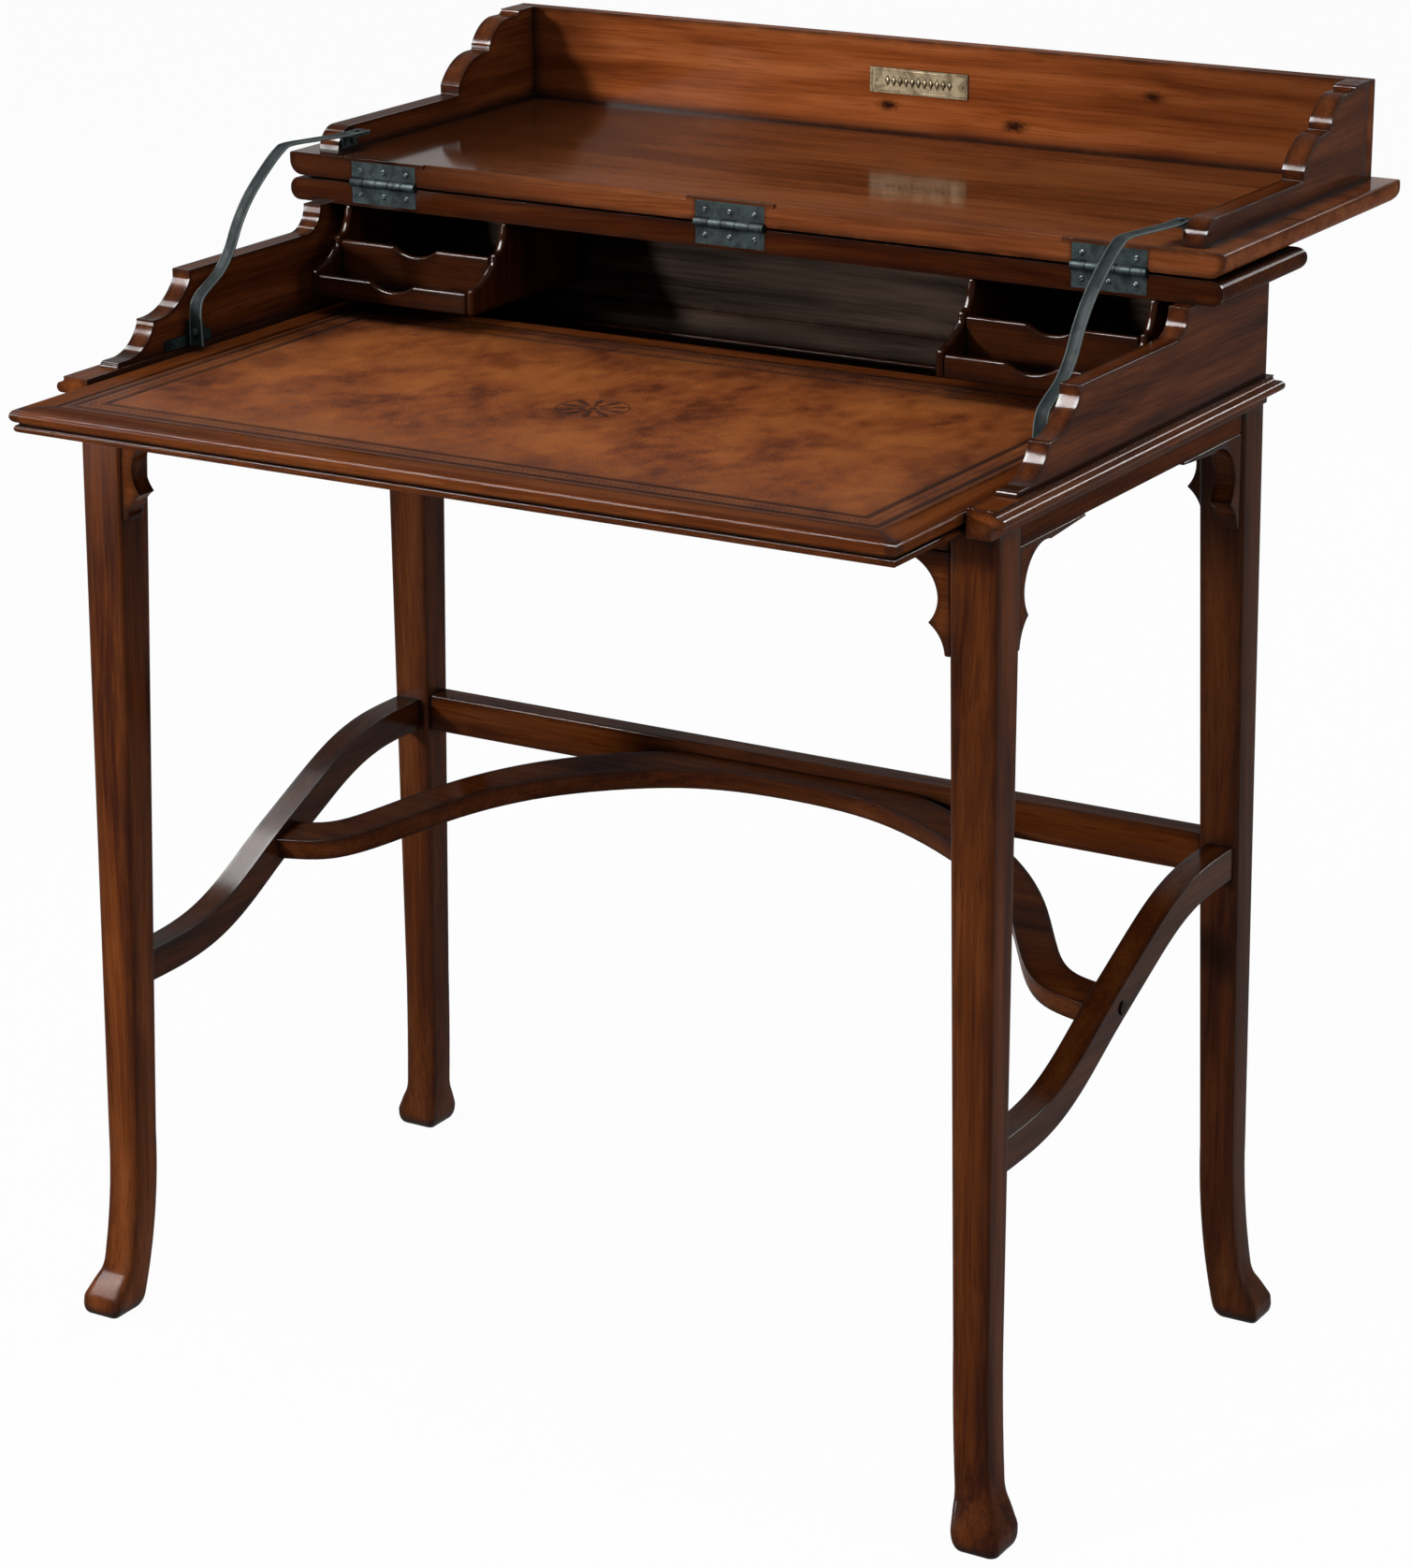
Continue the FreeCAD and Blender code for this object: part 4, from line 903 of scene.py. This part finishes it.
def white_room():
    """A white floor and surroundings, with the object's soft shadow left on the floor."""
    paint = bpy.data.materials.new("pale floor")
    paint.use_nodes = True
    paint.node_tree.nodes.clear()
    s = Shade(paint.node_tree)
    glow_share = s.math("MULTIPLY", direct_sight(s), floor_glow)
    matt = s.add("ShaderNodeBsdfDiffuse", {"Color": floor_grey}).outputs[0]
    glow = s.add("ShaderNodeEmission", {"Color": white, "Strength": 1.0}).outputs[0]
    both = s.add("ShaderNodeMixShader", {0: glow_share, 1: matt, 2: glow}).outputs[0]
    s.add("ShaderNodeOutputMaterial", {"Surface": both})
    corners = [(-floor_half, -floor_half, 0.0), (floor_half, -floor_half, 0.0),
               (floor_half, floor_half, 0.0), (-floor_half, floor_half, 0.0)]
    finished("floor", corners, [(0, 1, 2, 3)], paint)

    world = bpy.data.worlds.new("white room")
    bpy.context.scene.world = world
    world.use_nodes = True
    world.node_tree.nodes.clear()
    s = Shade(world.node_tree)
    strength = s.span(direct_sight(s), low=0.0, high=1.0, to_low=sky_light, to_high=1.0)
    sky = s.add("ShaderNodeBackground", {"Color": white, "Strength": strength}).outputs[0]
    s.add("ShaderNodeOutputWorld", {"Surface": sky})


def outward(azimuth, elevation):
    """Direction from the desk. Azimuth 0 is in front of it, and positive is to the right."""
    level = math.cos(elevation)
    return Vector((math.sin(azimuth) * level, -math.cos(azimuth) * level, math.sin(elevation)))


def lamp(name, azimuth, elevation, distance, size, power, height=None, gloss=True, shine_only=False):
    """A soft round lamp aimed at the desk.

    Without gloss it leaves no highlights, and with shine_only it leaves nothing else.
    """
    light = bpy.data.lights.new(name, "AREA")
    light.shape = "ELLIPSE"
    light.size = size
    light.size_y = height or size
    light.energy = power
    back = outward(math.radians(azimuth), math.radians(elevation))
    holder = bpy.data.objects.new(name, light)
    holder.location = lamps_aim + back * distance
    holder.rotation_mode = "QUATERNION"
    holder.rotation_quaternion = (-back).to_track_quat("-Z", "Y")
    holder.visible_glossy = gloss
    holder.visible_diffuse = not shine_only
    bpy.context.scene.collection.objects.link(holder)


def photo_camera():
    """Camera at the photograph's angle; the lens is for the long side of a 1508 by 1676 frame."""
    azimuth = math.radians(30.8882)
    elevation = math.radians(18.6636)
    roll = math.radians(-0.2933)
    place = Vector((1.67848, -2.80203, 1.53255))
    camera = bpy.data.cameras.new("camera")
    camera.lens = 102.436
    camera.sensor_width = 36.0
    camera.clip_end = 100.0
    back = outward(azimuth, elevation)
    right = Vector((math.cos(azimuth), math.sin(azimuth), 0.0))
    up = back.cross(right)
    turned_right = math.cos(roll) * right + math.sin(roll) * up
    turned_up = math.cos(roll) * up - math.sin(roll) * right
    axes = Matrix((turned_right, turned_up, back)).transposed().to_4x4()
    holder = bpy.data.objects.new("camera", camera)
    holder.matrix_world = Matrix.Translation(place) @ axes
    bpy.context.scene.collection.objects.link(holder)
    bpy.context.scene.camera = holder


white_room()
lamp("key", azimuth=-33.0, elevation=12.0, distance=4.5, size=0.5, power=175.0, gloss=False)
lamp("strip box", azimuth=-44.0, elevation=49.0, distance=3.0, size=1.2, height=1.6, power=1200.0,
     shine_only=True)
lamp("low box", azimuth=-41.0, elevation=12.0, distance=3.3, size=0.6, height=1.0, power=170.0,
     shine_only=True)
lamp("side box", azimuth=-101.0, elevation=47.0, distance=3.2, size=0.55, power=45.0, shine_only=True)
lamp("rim box", azimuth=152.0, elevation=28.0, distance=3.0, size=0.6, height=1.2, power=90.0,
     shine_only=True)
lamp("top fill", azimuth=20.0, elevation=70.0, distance=3.5, size=2.5, power=42.0, gloss=False)
lamp("right fill", azimuth=92.0, elevation=12.0, distance=3.5, size=1.5, power=30.0, gloss=False)
lamp("back fill", azimuth=172.0, elevation=20.0, distance=4.0, size=2.0, power=45.0, gloss=False)
photo_camera()
bpy.context.scene.view_settings.view_transform = "Standard"
